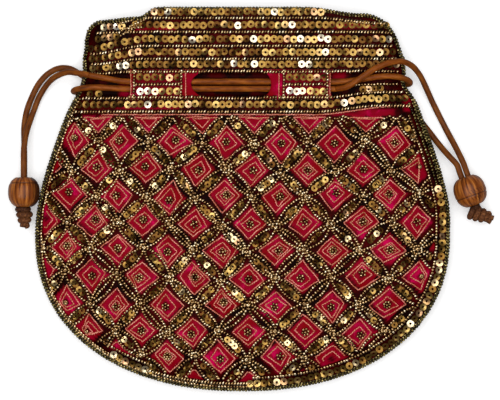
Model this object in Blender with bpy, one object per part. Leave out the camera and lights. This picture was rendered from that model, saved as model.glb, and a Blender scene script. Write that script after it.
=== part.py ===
"""A beaded potli bag, lying on its back with its mouth towards +Y.

Units are metres and +Z is up. The origin is on the table, under the middle of the bag.
The bag has an embroidered front and back, each with a satin lining. A drawn-in channel runs round
its neck under four embroidered tabs. Two leather drawcords lie in the channel. Each runs once round
the neck, and both its ends leave on one side, through a wooden bead, and are tied in a knot.
"""

import math

import bpy
import numpy as np
from mathutils import Vector
from mathutils.geometry import delaunay_2d_cdt

MM = 0.001

# Whole bag
CLEARANCE = 0.0003
BAG_WIDTH = 0.230
BAG_HEIGHT = 0.212
WIDEST_BELOW_MIDDLE = 0.020
LOWER_CURVE_POWER = 2.2
MOUTH_WIDTH = 0.170
MOUTH_CORNER_RADIUS = 0.022
MOUTH_DROP_LEFT = 0.0070
MOUTH_DROP_LEFT_START = 0.047
MOUTH_DROP_LEFT_LENGTH = 0.012
MOUTH_DROP_RIGHT = 0.0035
MOUTH_DROP_RIGHT_START = 0.035
MOUTH_DROP_RIGHT_LENGTH = 0.030
FLANK_HEIGHT = 0.124
NECK_PINCH = 0.0026
NECK_PINCH_REACH = 0.009

# Cloth, lining and seam
CLOTH_THICKNESS = 0.0012
LINING_THICKNESS = 0.0006
LINING_INSET = 0.0050
LINING_INSET_AT_CORNER = 0.0035
LINING_BELOW_MOUTH = 0.0012
SOFT_ROW_STEP = 0.021
SEAM_HEIGHT = 0.0099
SEAM_BEADING_RADIUS = 0.0012
BELLY_RISE_FRONT = 0.0106
BELLY_START = 0.027
BEADWORK_RISE = 0.0012

# Drawcords and the channel that they lie in
CORD_DIAMETER = 0.0034
CORD_POINT_SPACING = 0.0098
CHANNEL_BELOW_MOUTH = 0.0421
CHANNEL_MIDDLE = BAG_HEIGHT / 2 - CHANNEL_BELOW_MOUTH
CHANNEL_FLOOR_WIDTH = 0.0118
CHANNEL_WALL_WIDTH = 0.0010
CHANNEL_FLOOR_RISE = 0.0049
CHANNEL_LINED_WALL_WIDTH = 0.0030
LANE_SPACING = 0.0040
LANE_OFFSET = -0.0004

# Tabs over the channel, as the two ends of each one along X
TAB_THICKNESS = 0.0010
TAB_LAP = 0.0013
TAB_SPANS = {"left": (-0.0633, -0.0257), "right": (0.0158, 0.0500)}
TAB_BEADWORK_RISE = 0.0003

# A tab from its lower to its upper end: the share of its reach, and how high its beadwork stands
TAB_PROFILE = (
    (-1.0, 0.0),
    (-0.86, 1.0),
    (-0.72, 0.3),
    (-0.12, 0.7),
    (0.12, 0.7),
    (0.72, 0.3),
    (0.86, 1.0),
    (1.0, 0.0),
)
TAB_SEWN_SHARE = 0.8

# Beadwork
ROW_PITCH = 0.0073
COLLAR_ROWS_ABOVE_CHANNEL = 4
SEQUIN_ROW_WIDTH = 0.0034
ROW_END_MARGIN = 0.0022
COLLAR_BELOW_CHANNEL = 0.0100
LATTICE_STEP_X = 0.01507
LATTICE_STEP_Y = 0.01493
LATTICE_SHIFT = {"front": 0.00484, "back": LATTICE_STEP_X / 2}
LEAF_HALF_WIDTH = 0.0029
LEAF_SHOULDER = 0.26
LEAF_GROOVE_RISE = 0.0005
PAD_HALF_DIAGONAL = 0.0068
PAD_RISE = 0.0005
PAD_KNOB_HALF_WIDTH = 0.0016
BORDER_START = 0.0012
BORDER_WIDTH = 0.0026
BORDER_SLOPE = 0.0010

# Wooden beads and the knots under them
BEAD_DIAMETER = 0.0180
BEAD_LENGTH = 0.0164
BEAD_CURVE_POWER = 2.4
BEAD_END_FLAT = 0.0007
KNOT_DIAMETER = 0.0100
KNOT_LENGTH = 0.0105
KNOT_TAIL = 0.0045

CORD_RADIUS = CORD_DIAMETER / 2
STRAND_SPACING = CORD_DIAMETER + CLEARANCE
BORE_RADIUS = STRAND_SPACING / 2 + CORD_RADIUS + CLEARANCE
BEAD_HEIGHT = BEAD_DIAMETER / 2
RIM_INSET = 2 * SEAM_BEADING_RADIUS + CLEARANCE
RIM_RISE = CLEARANCE / 2 + CLOTH_THICKNESS
CHANNEL_CORD_RISE = CHANNEL_FLOOR_RISE + CLEARANCE + CORD_RADIUS
TAB_UNDER_RISE = CHANNEL_CORD_RISE + CORD_RADIUS + CLEARANCE
NECK_RISE = TAB_UNDER_RISE - CLEARANCE - BEADWORK_RISE
BELLY_RISE_BACK = SEAM_HEIGHT - BEADWORK_RISE
CHANNEL_HALF_WIDTH = CHANNEL_FLOOR_WIDTH / 2 + CHANNEL_WALL_WIDTH
LATTICE_TOP = CHANNEL_MIDDLE - CHANNEL_HALF_WIDTH - COLLAR_BELOW_CHANNEL
UPPER_LANE = CHANNEL_MIDDLE + LANE_OFFSET + LANE_SPACING / 2
LOWER_LANE = CHANNEL_MIDDLE + LANE_OFFSET - LANE_SPACING / 2

# How each face of the bag swells: its side of the seam, its height there and how round it is
FACES = {
    "front": {"side": 1, "belly_rise": BELLY_RISE_FRONT, "belly_power": 3.2, "fill": 1.0},
    "back": {"side": -1, "belly_rise": BELLY_RISE_BACK, "belly_power": 5.0, "fill": 1.08},
}
NECK_POWER = 8.0
SWELL_ROOT = 0.75


def start_empty():
    """Removes every object, so that the file holds only the bag."""
    for thing in list(bpy.data.objects):
        bpy.data.objects.remove(thing, do_unlink=True)


def material(name, colour, roughness, metallic=0.0):
    """A Principled material with one colour, as linear red, green and blue."""
    made = bpy.data.materials.new(name)
    made.use_nodes = True
    shader = made.node_tree.nodes["Principled BSDF"]
    shader.inputs["Base Color"].default_value = (*colour, 1.0)
    shader.inputs["Roughness"].default_value = roughness
    shader.inputs["Metallic"].default_value = metallic
    return made


def smoothstep(value):
    """0 below 0, 1 above 1, and an S-curve between them."""
    value = np.clip(value, 0.0, 1.0)
    return value * value * (3 - 2 * value)


def half_width(y):
    """Half the bag's width at a height on its flank, which narrows from the belly to the mouth."""
    climb = (y + WIDEST_BELOW_MIDDLE) / FLANK_HEIGHT
    flank = BAG_WIDTH / 2 - (BAG_WIDTH - MOUTH_WIDTH) / 2 * smoothstep(climb)
    return flank - NECK_PINCH * np.exp(-(((y - CHANNEL_MIDDLE) / NECK_PINCH_REACH) ** 2))


def mouth_height(x):
    """The mouth's edge, which sags towards both ends and more to the left."""
    right_share = (x - MOUTH_DROP_RIGHT_START) / MOUTH_DROP_RIGHT_LENGTH
    left_share = (-x - MOUTH_DROP_LEFT_START) / MOUTH_DROP_LEFT_LENGTH
    sag = MOUTH_DROP_RIGHT * smoothstep(right_share) + MOUTH_DROP_LEFT * smoothstep(left_share)
    return BAG_HEIGHT / 2 - sag


def bag_outline():
    """The bag seen from above, anticlockwise from its lowest point.

    Each point comes with its inset: how far in from the seam's outer edge the cloth ends there.
    """
    depth = BAG_HEIGHT / 2 - WIDEST_BELOW_MIDDLE
    lower = []
    for step in range(1, 10):
        angle = math.pi / 2 * step / 10
        x = BAG_WIDTH / 2 * math.sin(angle) ** (2 / LOWER_CURVE_POWER)
        y = -WIDEST_BELOW_MIDDLE - depth * math.cos(angle) ** (2 / LOWER_CURVE_POWER)
        lower.append((x, y, RIM_INSET))

    def upper(end, side):
        centre_y = mouth_height(side * end) - MOUTH_CORNER_RADIUS
        points = []
        for y in np.linspace(-WIDEST_BELOW_MIDDLE, centre_y, 13):
            points.append((half_width(y), y, RIM_INSET))
        centre_x = half_width(centre_y) - MOUTH_CORNER_RADIUS
        for degrees, share in ((22.5, 0.5), (45, 0.0), (67.5, 0.0)):
            angle = math.radians(degrees)
            x = centre_x + MOUTH_CORNER_RADIUS * math.cos(angle)
            y = centre_y + MOUTH_CORNER_RADIUS * math.sin(angle)
            points.append((x, y, share * RIM_INSET))
        return points

    corner_start = MOUTH_WIDTH / 2 - MOUTH_CORNER_RADIUS
    right = lower + upper(corner_start, 1)
    left = [(-x, y, inset) for x, y, inset in lower + upper(corner_start, -1)]
    edge = [(x, mouth_height(x), 0.0) for x in np.linspace(corner_start, -corner_start, 10)]
    outline = [(0.0, -BAG_HEIGHT / 2, RIM_INSET)] + right + edge + left[::-1]
    return np.array(outline)


def moved_in(points, distances):
    """A closed outline moved inwards, each point along the mean normal of its two sides."""
    after = np.roll(points, -1, axis=0) - points
    before = points - np.roll(points, 1, axis=0)
    along = after / np.linalg.norm(after, axis=1)[:, None]
    along += before / np.linalg.norm(before, axis=1)[:, None]
    along /= np.linalg.norm(along, axis=1)[:, None]
    inwards = np.column_stack([-along[:, 1], along[:, 0]])
    return points + inwards * np.reshape(distances, (-1, 1))


OUTLINE = bag_outline()
RIM = moved_in(OUTLINE[:, :2], OUTLINE[:, 2])


def fullness(x, y, margin=0.0):
    """0 in the middle of the cloth and 1 at its rim, or at a line a margin inside the rim."""
    half = half_width(np.maximum(y, -WIDEST_BELOW_MIDDLE)) - RIM_INSET - margin
    depth = BAG_HEIGHT / 2 - WIDEST_BELOW_MIDDLE - RIM_INSET - margin
    across = np.abs(x) / half
    down = np.maximum(-WIDEST_BELOW_MIDDLE - y, 0.0) / depth
    power = LOWER_CURVE_POWER
    return (across**power + down**power) ** (1 / power)


def cloth_rise(face, x, y):
    """How far the cloth's outer surface lies from the seam's level, with no channel and no beads."""
    shape = FACES[face]
    belly = smoothstep((CHANNEL_MIDDLE - CHANNEL_HALF_WIDTH - y) / BELLY_START)
    power = NECK_POWER + (shape["belly_power"] - NECK_POWER) * belly
    fill = 1 + (shape["fill"] - 1) * belly
    top = NECK_RISE + (shape["belly_rise"] - NECK_RISE) * belly
    edge = np.minimum(fullness(x, y), 1.0)
    swell = np.minimum(fill * (1 - edge**power) ** SWELL_ROOT, 1.0)
    return RIM_RISE + (top - RIM_RISE) * swell


def channel_rise(y, floor_width, wall_width):
    """The channel's own height across the neck: a flat floor between two sloping walls."""
    beyond = np.maximum(np.abs(y - CHANNEL_MIDDLE) - floor_width / 2, 0.0)
    return CHANNEL_FLOOR_RISE + beyond * (NECK_RISE - CHANNEL_FLOOR_RISE) / wall_width


def outer_rise(face, x, y):
    """The cloth's outer surface, drawn in at the channel."""
    floor = channel_rise(y, CHANNEL_FLOOR_WIDTH, CHANNEL_WALL_WIDTH)
    return np.minimum(cloth_rise(face, x, y), floor)


def inner_rise(face, x, y):
    """The cloth's inner surface. The channel is wider there by the cloth's thickness at each wall."""
    width = CHANNEL_FLOOR_WIDTH + 2 * CLOTH_THICKNESS
    floor = channel_rise(y, width, CHANNEL_LINED_WALL_WIDTH)
    return np.minimum(cloth_rise(face, x, y), floor) - CLOTH_THICKNESS


class Plan:
    """Points, their beadwork heights and the lines between them, seen from above."""

    def __init__(self, boundary):
        self.points = [tuple(point) for point in boundary]
        self.rises = [0.0] * len(self.points)
        self.lines = []
        self.boundary_count = len(self.points)
        self.known = {}

    def add(self, x, y, rise=0.0):
        """Adds a point once, and gives its number."""
        key = (round(x * 1e5), round(y * 1e5))
        if key not in self.known:
            self.known[key] = len(self.points)
            self.points.append((float(x), float(y)))
            self.rises.append(rise)
        return self.known[key]

    def path(self, points, rise=0.0, closed=False):
        """Adds points and a line through them."""
        numbers = [self.add(x, y, rise) for x, y in points]
        ends = numbers[1:] + numbers[:1] if closed else numbers[1:]
        self.lines += [pair for pair in zip(numbers, ends) if pair[0] != pair[1]]
        return numbers

    def triangles(self):
        """Fills the boundary with triangles that keep every line."""
        flat = [Vector(point) for point in self.points]
        rim = list(range(self.boundary_count))
        made = delaunay_2d_cdt(flat, self.lines, [rim], 1, 1e-7)
        verts, faces, sources = made[0], made[2], made[3]
        places = {}
        for number, origins in enumerate(sources):
            for origin in origins:
                places[origin] = number
        rises = [self.rises[origins[0]] if origins else 0.0 for origins in sources]
        points = np.array([(vert.x, vert.y) for vert in verts])
        return points, np.array(rises), faces, [places[number] for number in rim]


def mesh_object(name, verts, faces, finish, smooth_below=None):
    """One named mesh object with one material. Smooth shading stops at edges sharper than an angle."""
    mesh = bpy.data.meshes.new(name)
    mesh.from_pydata([tuple(vert) for vert in verts], [], [tuple(face) for face in faces])
    mesh.materials.append(finish)
    if smooth_below is not None:
        mesh.shade_smooth()
        mesh.set_sharp_from_angle(angle=math.radians(smooth_below))
    thing = bpy.data.objects.new(name, mesh)
    bpy.context.collection.objects.link(thing)
    return thing


def sewn_shell(name, face, outer_plan, inner_plan, outer_height, inner_height, finish):
    """A cloth panel: an outer and an inner surface with one boundary, and a wall between them."""
    side = FACES[face]["side"]
    outer, rises, outer_faces, outer_rim = outer_plan.triangles()
    inner, _, inner_faces, inner_rim = inner_plan.triangles()
    outer_z = SEAM_HEIGHT + side * (outer_height(outer[:, 0], outer[:, 1]) + rises)
    inner_z = SEAM_HEIGHT + side * inner_height(inner[:, 0], inner[:, 1])
    verts = [*np.column_stack([outer, outer_z]), *np.column_stack([inner, inner_z])]
    first = len(outer)
    faces = [tuple(corner) for corner in outer_faces]
    faces += [tuple(corner + first for corner in reversed(triangle)) for triangle in inner_faces]
    for here in range(len(outer_rim)):
        there = (here + 1) % len(outer_rim)
        up_here, up_there = outer_rim[here], outer_rim[there]
        down_here, down_there = inner_rim[here] + first, inner_rim[there] + first
        faces += [(up_here, down_here, down_there), (up_here, down_there, up_there)]
    if side < 0:
        faces = [tuple(reversed(triangle)) for triangle in faces]
    return mesh_object(name, verts, faces, finish, smooth_below=18)


def collar_rows():
    """The rows of sequins across the neck, as the height of each row's middle."""
    rows = []
    top = CHANNEL_MIDDLE + CHANNEL_HALF_WIDTH
    for number in range(COLLAR_ROWS_ABOVE_CHANNEL):
        rows.append(top + ROW_PITCH * (number + 0.5))
    rows.append(CHANNEL_MIDDLE - CHANNEL_HALF_WIDTH - ROW_PITCH / 2)
    return rows


def ends_at(outline, y):
    """The leftmost and rightmost places where a closed outline crosses a height."""
    start, end = outline, np.roll(outline, -1, axis=0)
    crosses = (start[:, 1] > y) != (end[:, 1] > y)
    low, high = start[crosses], end[crosses]
    share = (y - low[:, 1]) / (high[:, 1] - low[:, 1])
    places = low[:, 0] + share * (high[:, 0] - low[:, 0])
    return places.min(), places.max()


def across(y, count=13):
    """Points across the neck at one height, closer together towards the two rims."""
    left, right = ends_at(RIM, y)
    share = (1 + np.sin(np.linspace(-math.pi / 2, math.pi / 2, count))) / 2
    left, right = left + ROW_END_MARGIN, right - ROW_END_MARGIN
    return [(left + (right - left) * part, y) for part in share]


def add_collar(plan):
    """Flat ridges for the sequin rows, grooves between them, and the channel's four edges."""
    for middle in collar_rows():
        plan.path(across(middle + SEQUIN_ROW_WIDTH / 2), BEADWORK_RISE)
        plan.path(across(middle - SEQUIN_ROW_WIDTH / 2), BEADWORK_RISE)
    top = CHANNEL_MIDDLE + CHANNEL_HALF_WIDTH
    for number in range(1, COLLAR_ROWS_ABOVE_CHANNEL):
        plan.path(across(top + ROW_PITCH * number))
    for side in (-1, 1):
        plan.path(across(CHANNEL_MIDDLE + side * CHANNEL_HALF_WIDTH), BEADWORK_RISE)
        plan.path(across(CHANNEL_MIDDLE + side * CHANNEL_FLOOR_WIDTH / 2))


def lattice_cells(face):
    """The middle of every diamond of the lattice, row by row from the collar down."""
    cells = []
    for row in range(12):
        shift = LATTICE_SHIFT[face] - (row % 2) * LATTICE_STEP_X
        for column in range(-5, 6):
            cells.append((shift + 2 * LATTICE_STEP_X * column, LATTICE_TOP - LATTICE_STEP_Y * row))
    return cells


def all_inside(points):
    """Whether every point lies under the collar and inside the border."""
    margin = BORDER_START + BORDER_WIDTH + BORDER_SLOPE + 2 * CLEARANCE
    return all(y < LATTICE_TOP + CLEARANCE and fullness(x, y, margin) < 1 for x, y in points)


def add_leaf(plan, start, end, with_groove):
    """One pointed leaf along a side of a diamond: two raised strings of beads, and sequins between."""
    start, end = np.array(start), np.array(end)
    along = (end - start) / np.linalg.norm(end - start)
    out = np.array([-along[1], along[0]]) * LEAF_HALF_WIDTH
    near = start + (end - start) * LEAF_SHOULDER
    far = start + (end - start) * (1 - LEAF_SHOULDER)
    outline = [start, near - out, far - out, end, far + out, near + out]
    if all_inside(outline):
        plan.path(outline, BEADWORK_RISE, closed=True)
        if with_groove:
            plan.path([near, far], LEAF_GROOVE_RISE)


def add_pad(plan, x, y, with_knob):
    """The satin diamond in the middle of a cell, with a small knob of beads on it."""
    reach = PAD_HALF_DIAGONAL
    if abs(y - LATTICE_TOP) < CLEARANCE:
        level = y - 2 * CLEARANCE
        corners = [(x - reach, level), (x, y - reach), (x + reach, level)]
        knob_y = y - reach / 3
    else:
        corners = [(x - reach, y), (x, y - reach), (x + reach, y), (x, y + reach)]
        knob_y = y
    if not all_inside(corners):
        return
    plan.path(corners, PAD_RISE, closed=True)
    if with_knob:
        small = PAD_KNOB_HALF_WIDTH
        foot = [(x - small, knob_y), (x, knob_y - small), (x + small, knob_y), (x, knob_y + small)]
        plan.path(foot, PAD_RISE, closed=True)
        plan.add(x, knob_y, BEADWORK_RISE)


def add_lattice(plan, face):
    """Leaves along every side of every diamond, and a satin pad in its middle."""
    done = set()
    for x, y in lattice_cells(face):
        corners = [
            (x + LATTICE_STEP_X, y),
            (x, y + LATTICE_STEP_Y),
            (x - LATTICE_STEP_X, y),
            (x, y - LATTICE_STEP_Y),
        ]
        for start, end in zip(corners, corners[1:] + corners[:1]):
            key = (round((start[0] + end[0]) * 1e4), round((start[1] + end[1]) * 1e4))
            if key not in done:
                done.add(key)
                add_leaf(plan, start, end, with_groove=face == "front")
        add_pad(plan, x, y, with_knob=face == "front")


def add_border(plan):
    """The raised beaded border inside the seam, from one end of the collar round to the other."""
    count = len(RIM)
    bottom_up = [number for number in range(count) if OUTLINE[number, 1] < LATTICE_TOP - 0.004]
    split = max(range(len(bottom_up) - 1), key=lambda at: bottom_up[at + 1] - bottom_up[at])
    order = bottom_up[split + 1 :] + bottom_up[: split + 1]
    reach = BORDER_START
    for width, rise in ((0.0, BEADWORK_RISE), (BORDER_WIDTH, BEADWORK_RISE), (BORDER_SLOPE, 0.0)):
        reach += width
        loop = moved_in(RIM, np.full(count, reach))
        plan.path(loop[order], rise)


def lining_outline():
    """The lining ends inside the seam, and just below the mouth's edge.

    It keeps every point along the mouth, and every second one along the seam.
    """
    at_mouth = OUTLINE[:, 2] < RIM_INSET / 4
    insets = np.where(at_mouth, LINING_BELOW_MOUTH, LINING_INSET)
    at_corner = np.isclose(OUTLINE[:, 2], RIM_INSET / 2)
    insets = np.where(at_corner, LINING_INSET_AT_CORNER, insets)
    kept = at_mouth | (np.arange(len(OUTLINE)) % 2 == 0)
    return moved_in(RIM, insets)[kept]


def add_soft_points(plan):
    """The plain points that carry the swell of the inner surface and of the lining."""
    lined = lining_outline()
    half_floor = CHANNEL_FLOOR_WIDTH / 2 + CLOTH_THICKNESS
    rows = [(BAG_HEIGHT / 2 - MOUTH_DROP_LEFT - SOFT_ROW_STEP / 2, 6)]
    for offset in (half_floor + CHANNEL_LINED_WALL_WIDTH, half_floor):
        rows.append((CHANNEL_MIDDLE + offset, 9))
    for offset in (half_floor, half_floor + CHANNEL_LINED_WALL_WIDTH):
        rows.append((CHANNEL_MIDDLE - offset, 9))
    y = CHANNEL_MIDDLE - half_floor - CHANNEL_LINED_WALL_WIDTH - SOFT_ROW_STEP * 0.6
    while y > SOFT_ROW_STEP * 0.6 - BAG_HEIGHT / 2:
        rows.append((y, 7 if len(rows) % 2 else 8))
        y -= SOFT_ROW_STEP
    for y, count in rows:
        left, right = ends_at(lined, y)
        share = (1 + np.sin(np.linspace(-math.pi / 2, math.pi / 2, count))) / 2
        left, right = left + ROW_END_MARGIN, right - ROW_END_MARGIN
        plan.path([(left + (right - left) * part, y) for part in share])


def make_cloth(face, embroidery, satin):
    """One face of the bag: its embroidered panel and the lining inside it."""
    outer_plan = Plan(RIM)
    add_collar(outer_plan)
    add_lattice(outer_plan, face)
    add_border(outer_plan)
    inner_plan = Plan(RIM)
    inner_plan.path(lining_outline(), closed=True)
    add_soft_points(inner_plan)

    def outer(x, y):
        return outer_rise(face, x, y)

    def inner(x, y):
        return inner_rise(face, x, y)

    sewn_shell(f"{face}_panel", face, outer_plan, inner_plan, outer, inner, embroidery)

    def lining_outer(x, y):
        return inner_rise(face, x, y) - CLEARANCE

    def lining_inner(x, y):
        return inner_rise(face, x, y) - CLEARANCE - LINING_THICKNESS

    plans = []
    for _ in range(2):
        plan = Plan(lining_outline())
        add_soft_points(plan)
        plans.append(plan)
    sewn_shell(f"{face}_lining", face, plans[0], plans[1], lining_outer, lining_inner, satin)


def make_tab(face, place, finish):
    """An embroidered tab, sewn down above and below the channel and bridging the cords in it."""
    side = FACES[face]["side"]
    left, right = TAB_SPANS[place]
    reach = CHANNEL_HALF_WIDTH + TAB_LAP
    columns = np.linspace(left, right, 3)
    under, over = [], []
    for share, rise in TAB_PROFILE:
        y = CHANNEL_MIDDLE + share * reach
        for x in columns:
            foot = cloth_rise(face, x, y) + BEADWORK_RISE + CLEARANCE
            if abs(share) < TAB_SEWN_SHARE:
                foot = max(foot, TAB_UNDER_RISE)
            top = foot + TAB_THICKNESS - TAB_BEADWORK_RISE * (1 - rise)
            under.append((x, y, SEAM_HEIGHT + side * foot))
            over.append((x, y, SEAM_HEIGHT + side * top))
    rows, wide = len(TAB_PROFILE), len(columns)
    first = len(under)
    faces = []
    for row in range(rows - 1):
        for column in range(wide - 1):
            at = row * wide + column
            faces.append((first + at, first + at + 1, first + at + wide + 1, first + at + wide))
            faces.append((at, at + wide, at + wide + 1, at + 1))
    edge = [column for column in range(wide)]
    edge += [row * wide + wide - 1 for row in range(1, rows)]
    edge += [(rows - 1) * wide + column for column in range(wide - 2, -1, -1)]
    edge += [row * wide for row in range(rows - 2, 0, -1)]
    for here, there in zip(edge, edge[1:] + edge[:1]):
        faces.append((here, there, first + there, first + here))
    if side < 0:
        faces = [tuple(reversed(corners)) for corners in faces]
    mesh_object(f"{face}_{place}_tab", under + over, faces, finish, smooth_below=35)


def tube(name, points, radius, sides_step, finish):
    """A round cord or beading: a curve with filled caps through the given points."""
    curve = bpy.data.curves.new(name, "CURVE")
    curve.dimensions = "3D"
    curve.bevel_depth = radius
    curve.bevel_resolution = sides_step
    curve.use_fill_caps = True
    spline = curve.splines.new("POLY")
    spline.points.add(len(points) - 1)
    for point, place in zip(spline.points, points):
        point.co = (*place, 1.0)
    curve.materials.append(finish)
    thing = bpy.data.objects.new(name, curve)
    bpy.context.collection.objects.link(thing)
    return thing


def smooth_route(route):
    """Points on a smooth curve through a route's own points, closer together where it bends."""
    route = np.array(route, dtype=float)
    padded = np.vstack([2 * route[0] - route[1], route, 2 * route[-1] - route[-2]])
    dense = []
    for number in range(len(route) - 1):
        before, start, end, after = padded[number : number + 4]
        gap = max(np.linalg.norm(end - start), 1e-9)
        lead_in = (end - before) / max(np.linalg.norm(start - before) + gap, 1e-9) * gap
        lead_out = (after - start) / max(np.linalg.norm(after - end) + gap, 1e-9) * gap
        for part in np.linspace(0, 1, 16, endpoint=False):
            square, cube = part**2, part**3
            place = (2 * cube - 3 * square + 1) * start + (cube - 2 * square + part) * lead_in
            place += (3 * square - 2 * cube) * end + (cube - square) * lead_out
            dense.append(place)
    dense.append(route[-1])
    dense = np.array(dense)
    steps = np.diff(dense, axis=0)
    lengths = np.linalg.norm(steps, axis=1)
    heading = steps / lengths[:, None]
    turning = np.linalg.norm(np.diff(heading, axis=0), axis=1) / lengths[1:]
    turning = np.convolve(np.append(turning, turning[-1]), np.ones(15) / 15, mode="same")
    weights = lengths * (1 + np.minimum(turning * CORD_DIAMETER * 6, 1.3)) / CORD_POINT_SPACING
    counted = np.concatenate([[0], np.cumsum(weights)])
    stops = np.linspace(0, counted[-1], round(counted[-1]) + 1)
    return np.column_stack([np.interp(stops, counted, dense[:, axis]) for axis in range(3)])


def make_seam_beading(finish):
    """The beaded edging that closes the side and bottom seams, from one mouth corner to the other."""
    centre = moved_in(OUTLINE[:, :2], np.full(len(OUTLINE), SEAM_BEADING_RADIUS))
    sewn = [number for number in range(len(OUTLINE)) if np.isclose(OUTLINE[number, 2], RIM_INSET)]
    split = max(range(len(sewn) - 1), key=lambda at: sewn[at + 1] - sewn[at])
    order = sewn[split + 1 :] + sewn[: split + 1]
    points = [(centre[number, 0], centre[number, 1], SEAM_HEIGHT) for number in order]
    tube("seam_beading", points, SEAM_BEADING_RADIUS, 2, finish)


# Where each bead lies outside the neck's edge and below the channel's middle, in metres, which way
# it points away from the bag, and which way its two strands part
BEADS = {
    "left": {"side": -1, "out": 0.0318, "down": 0.0595, "heading": -90.0, "strands": "stacked"},
    "right": {"side": 1, "out": 0.0368, "down": 0.0589, "heading": -70.0, "strands": "level"},
}
NECK_EDGE = float(half_width(CHANNEL_MIDDLE))


def bead_frame(place):
    """A bead's middle, its axis away from the bag, and the step between its two strands."""
    bead = BEADS[place]
    across = bead["side"] * (NECK_EDGE + bead["out"])
    centre = np.array([across, CHANNEL_MIDDLE - bead["down"], BEAD_HEIGHT])
    turn = math.radians(bead["heading"])
    axis = np.array([math.cos(turn), math.sin(turn), 0.0])
    step = np.array([0.0, 0.0, 1.0])
    if bead["strands"] == "level":
        step = np.array([-axis[1], axis[0], 0.0])
    return centre, axis, step * STRAND_SPACING / 2


def strand_end(place, sign, straight):
    """The last stretch of a strand: straight to the bead, and through it to the knot."""
    centre, axis, step = bead_frame(place)
    start = centre + sign * step - axis * (BEAD_LENGTH / 2 + straight)
    middle = centre + sign * step - axis * (BEAD_LENGTH / 2 + straight / 2)
    entry = centre + sign * step - axis * (BEAD_LENGTH / 2)
    end = centre + sign * step + axis * (BEAD_LENGTH / 2)
    return [start, middle, entry, centre + sign * step, end]


def beside_neck(route, side):
    """A hand-chosen route, from its steps off the neck's edge, the channel and the seam's level."""
    places = []
    for out, up, rise in route:
        x = side * (NECK_EDGE + out * MM)
        places.append(np.array([x, CHANNEL_MIDDLE + up * MM, SEAM_HEIGHT + rise * MM]))
    return places


def channel_run(lane, insets, side):
    """A straight run from left to right along a lane, on the front or the back of the neck."""
    z = SEAM_HEIGHT + side * CHANNEL_CORD_RISE
    left, right = insets[0] - NECK_EDGE, NECK_EDGE - insets[1]
    return [np.array([x, lane, z]) for x in np.linspace(left, right, 5)]


# The free stretches of the cords, in millimetres. Each point is so far outside the neck's edge on
# its side, so far above the channel's middle, and so far above the seam's level.
LEFT_FRONT_PULL = [
    (31.3, -30.3, -0.7),
    (29.7, -22.5, -3.7),
    (27.2, -14.7, -6.2),
    (23.3, -5.3, -5.9),
    (16.8, 3.1, -2.9),
    (8.6, 6.9, 0.9),
    (1.2, 6.4, 4.5),
    (-5.3, 5.1, 6.6),
    (-12.8, 3.7, 6.9),
    (-20.3, 2.3, 6.9),
]
LEFT_BACK_PULL = [
    (-5.8, 2.3, -6.9),
    (0.2, 5.9, -6.9),
    (6.6, 9.5, -7.1),
    (13.2, 9.7, -7.6),
    (19.4, 6.5, -7.9),
    (24.4, 0.9, -8.0),
    (28.2, -6.5, -8.0),
    (31.1, -14.5, -8.0),
    (32.4, -22.5, -7.5),
    (32.2, -29.9, -5.1),
]
LEFT_CORD_ROUND_RIGHT = [
    (-25.8, 2.7, 6.9),
    (-18.8, 3.8, 6.9),
    (-11.8, 4.5, 6.9),
    (-6.8, 4.5, 6.8),
    (-2.2, 3.9, 5.8),
    (1.2, 2.9, 3.8),
    (3.0, 1.9, 1.7),
    (3.4, 1.1, 0.0),
    (3.0, 0.7, -1.8),
    (1.2, 0.5, -3.9),
    (-2.2, 0.7, -5.8),
    (-6.8, 1.1, -6.8),
    (-13.8, 1.5, -6.9),
]
RIGHT_CORD_ROUND_LEFT = [
    (-13.8, -2.5, -6.9),
    (-6.8, -2.9, -6.9),
    (-2.0, -3.4, -6.0),
    (1.9, -3.7, -4.1),
    (3.8, -3.7, -1.9),
    (4.2, -3.5, 0.0),
    (3.8, -3.1, 1.8),
    (1.9, -2.5, 4.0),
    (-2.0, -1.9, 5.9),
    (-6.8, -1.6, 6.9),
    (-11.8, -1.7, 6.9),
    (-18.8, -2.1, 6.9),
]
RIGHT_FRONT_PULL = [
    (-38.3, -2.4, 7.1),
    (-33.2, -1.8, 9.6),
    (-28.4, 0.6, 11.3),
    (-22.8, 4.7, 11.6),
    (-16.0, 8.9, 11.1),
    (-8.6, 11.9, 9.3),
    (-1.2, 12.7, 5.9),
    (4.6, 10.3, 2.0),
    (9.0, 5.5, -1.7),
    (12.6, -1.1, -4.9),
    (16.4, -9.1, -7.1),
    (20.6, -17.5, -7.8),
    (24.8, -25.9, -6.9),
    (28.8, -33.9, -3.7),
]
RIGHT_BACK_PULL = [
    (-6.8, -3.3, -6.9),
    (-1.8, -5.7, -7.0),
    (2.0, -9.5, -7.3),
    (5.4, -13.9, -7.7),
    (9.0, -18.5, -7.9),
    (12.6, -23.1, -8.0),
    (16.6, -28.3, -7.6),
    (20.8, -33.9, -5.7),
    (25.0, -39.1, -2.9),
]
STRAIGHT_ABOVE_BEAD = {"left": 0.0130, "right": 0.0080}

# How far inside the neck's left and right edges each cord runs straight along its lane
LEFT_CORD_FRONT_RUN = (0.0278, 0.0338)
LEFT_CORD_BACK_RUN = (0.0138, 0.0218)
RIGHT_CORD_FRONT_RUN = (0.0258, 0.0438)
RIGHT_CORD_BACK_RUN = (0.0218, 0.0138)


def left_cord_route():
    """From the left knot along the front, round the right edge and back behind the neck."""
    front_start = strand_end("left", 1, STRAIGHT_ABOVE_BEAD["left"])[::-1]
    back_end = strand_end("left", -1, STRAIGHT_ABOVE_BEAD["left"])
    route = front_start + beside_neck(LEFT_FRONT_PULL, -1)
    route += channel_run(UPPER_LANE, LEFT_CORD_FRONT_RUN, 1)
    route += beside_neck(LEFT_CORD_ROUND_RIGHT, 1)
    route += channel_run(UPPER_LANE, LEFT_CORD_BACK_RUN, -1)[::-1]
    return route + beside_neck(LEFT_BACK_PULL, -1) + back_end


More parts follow.
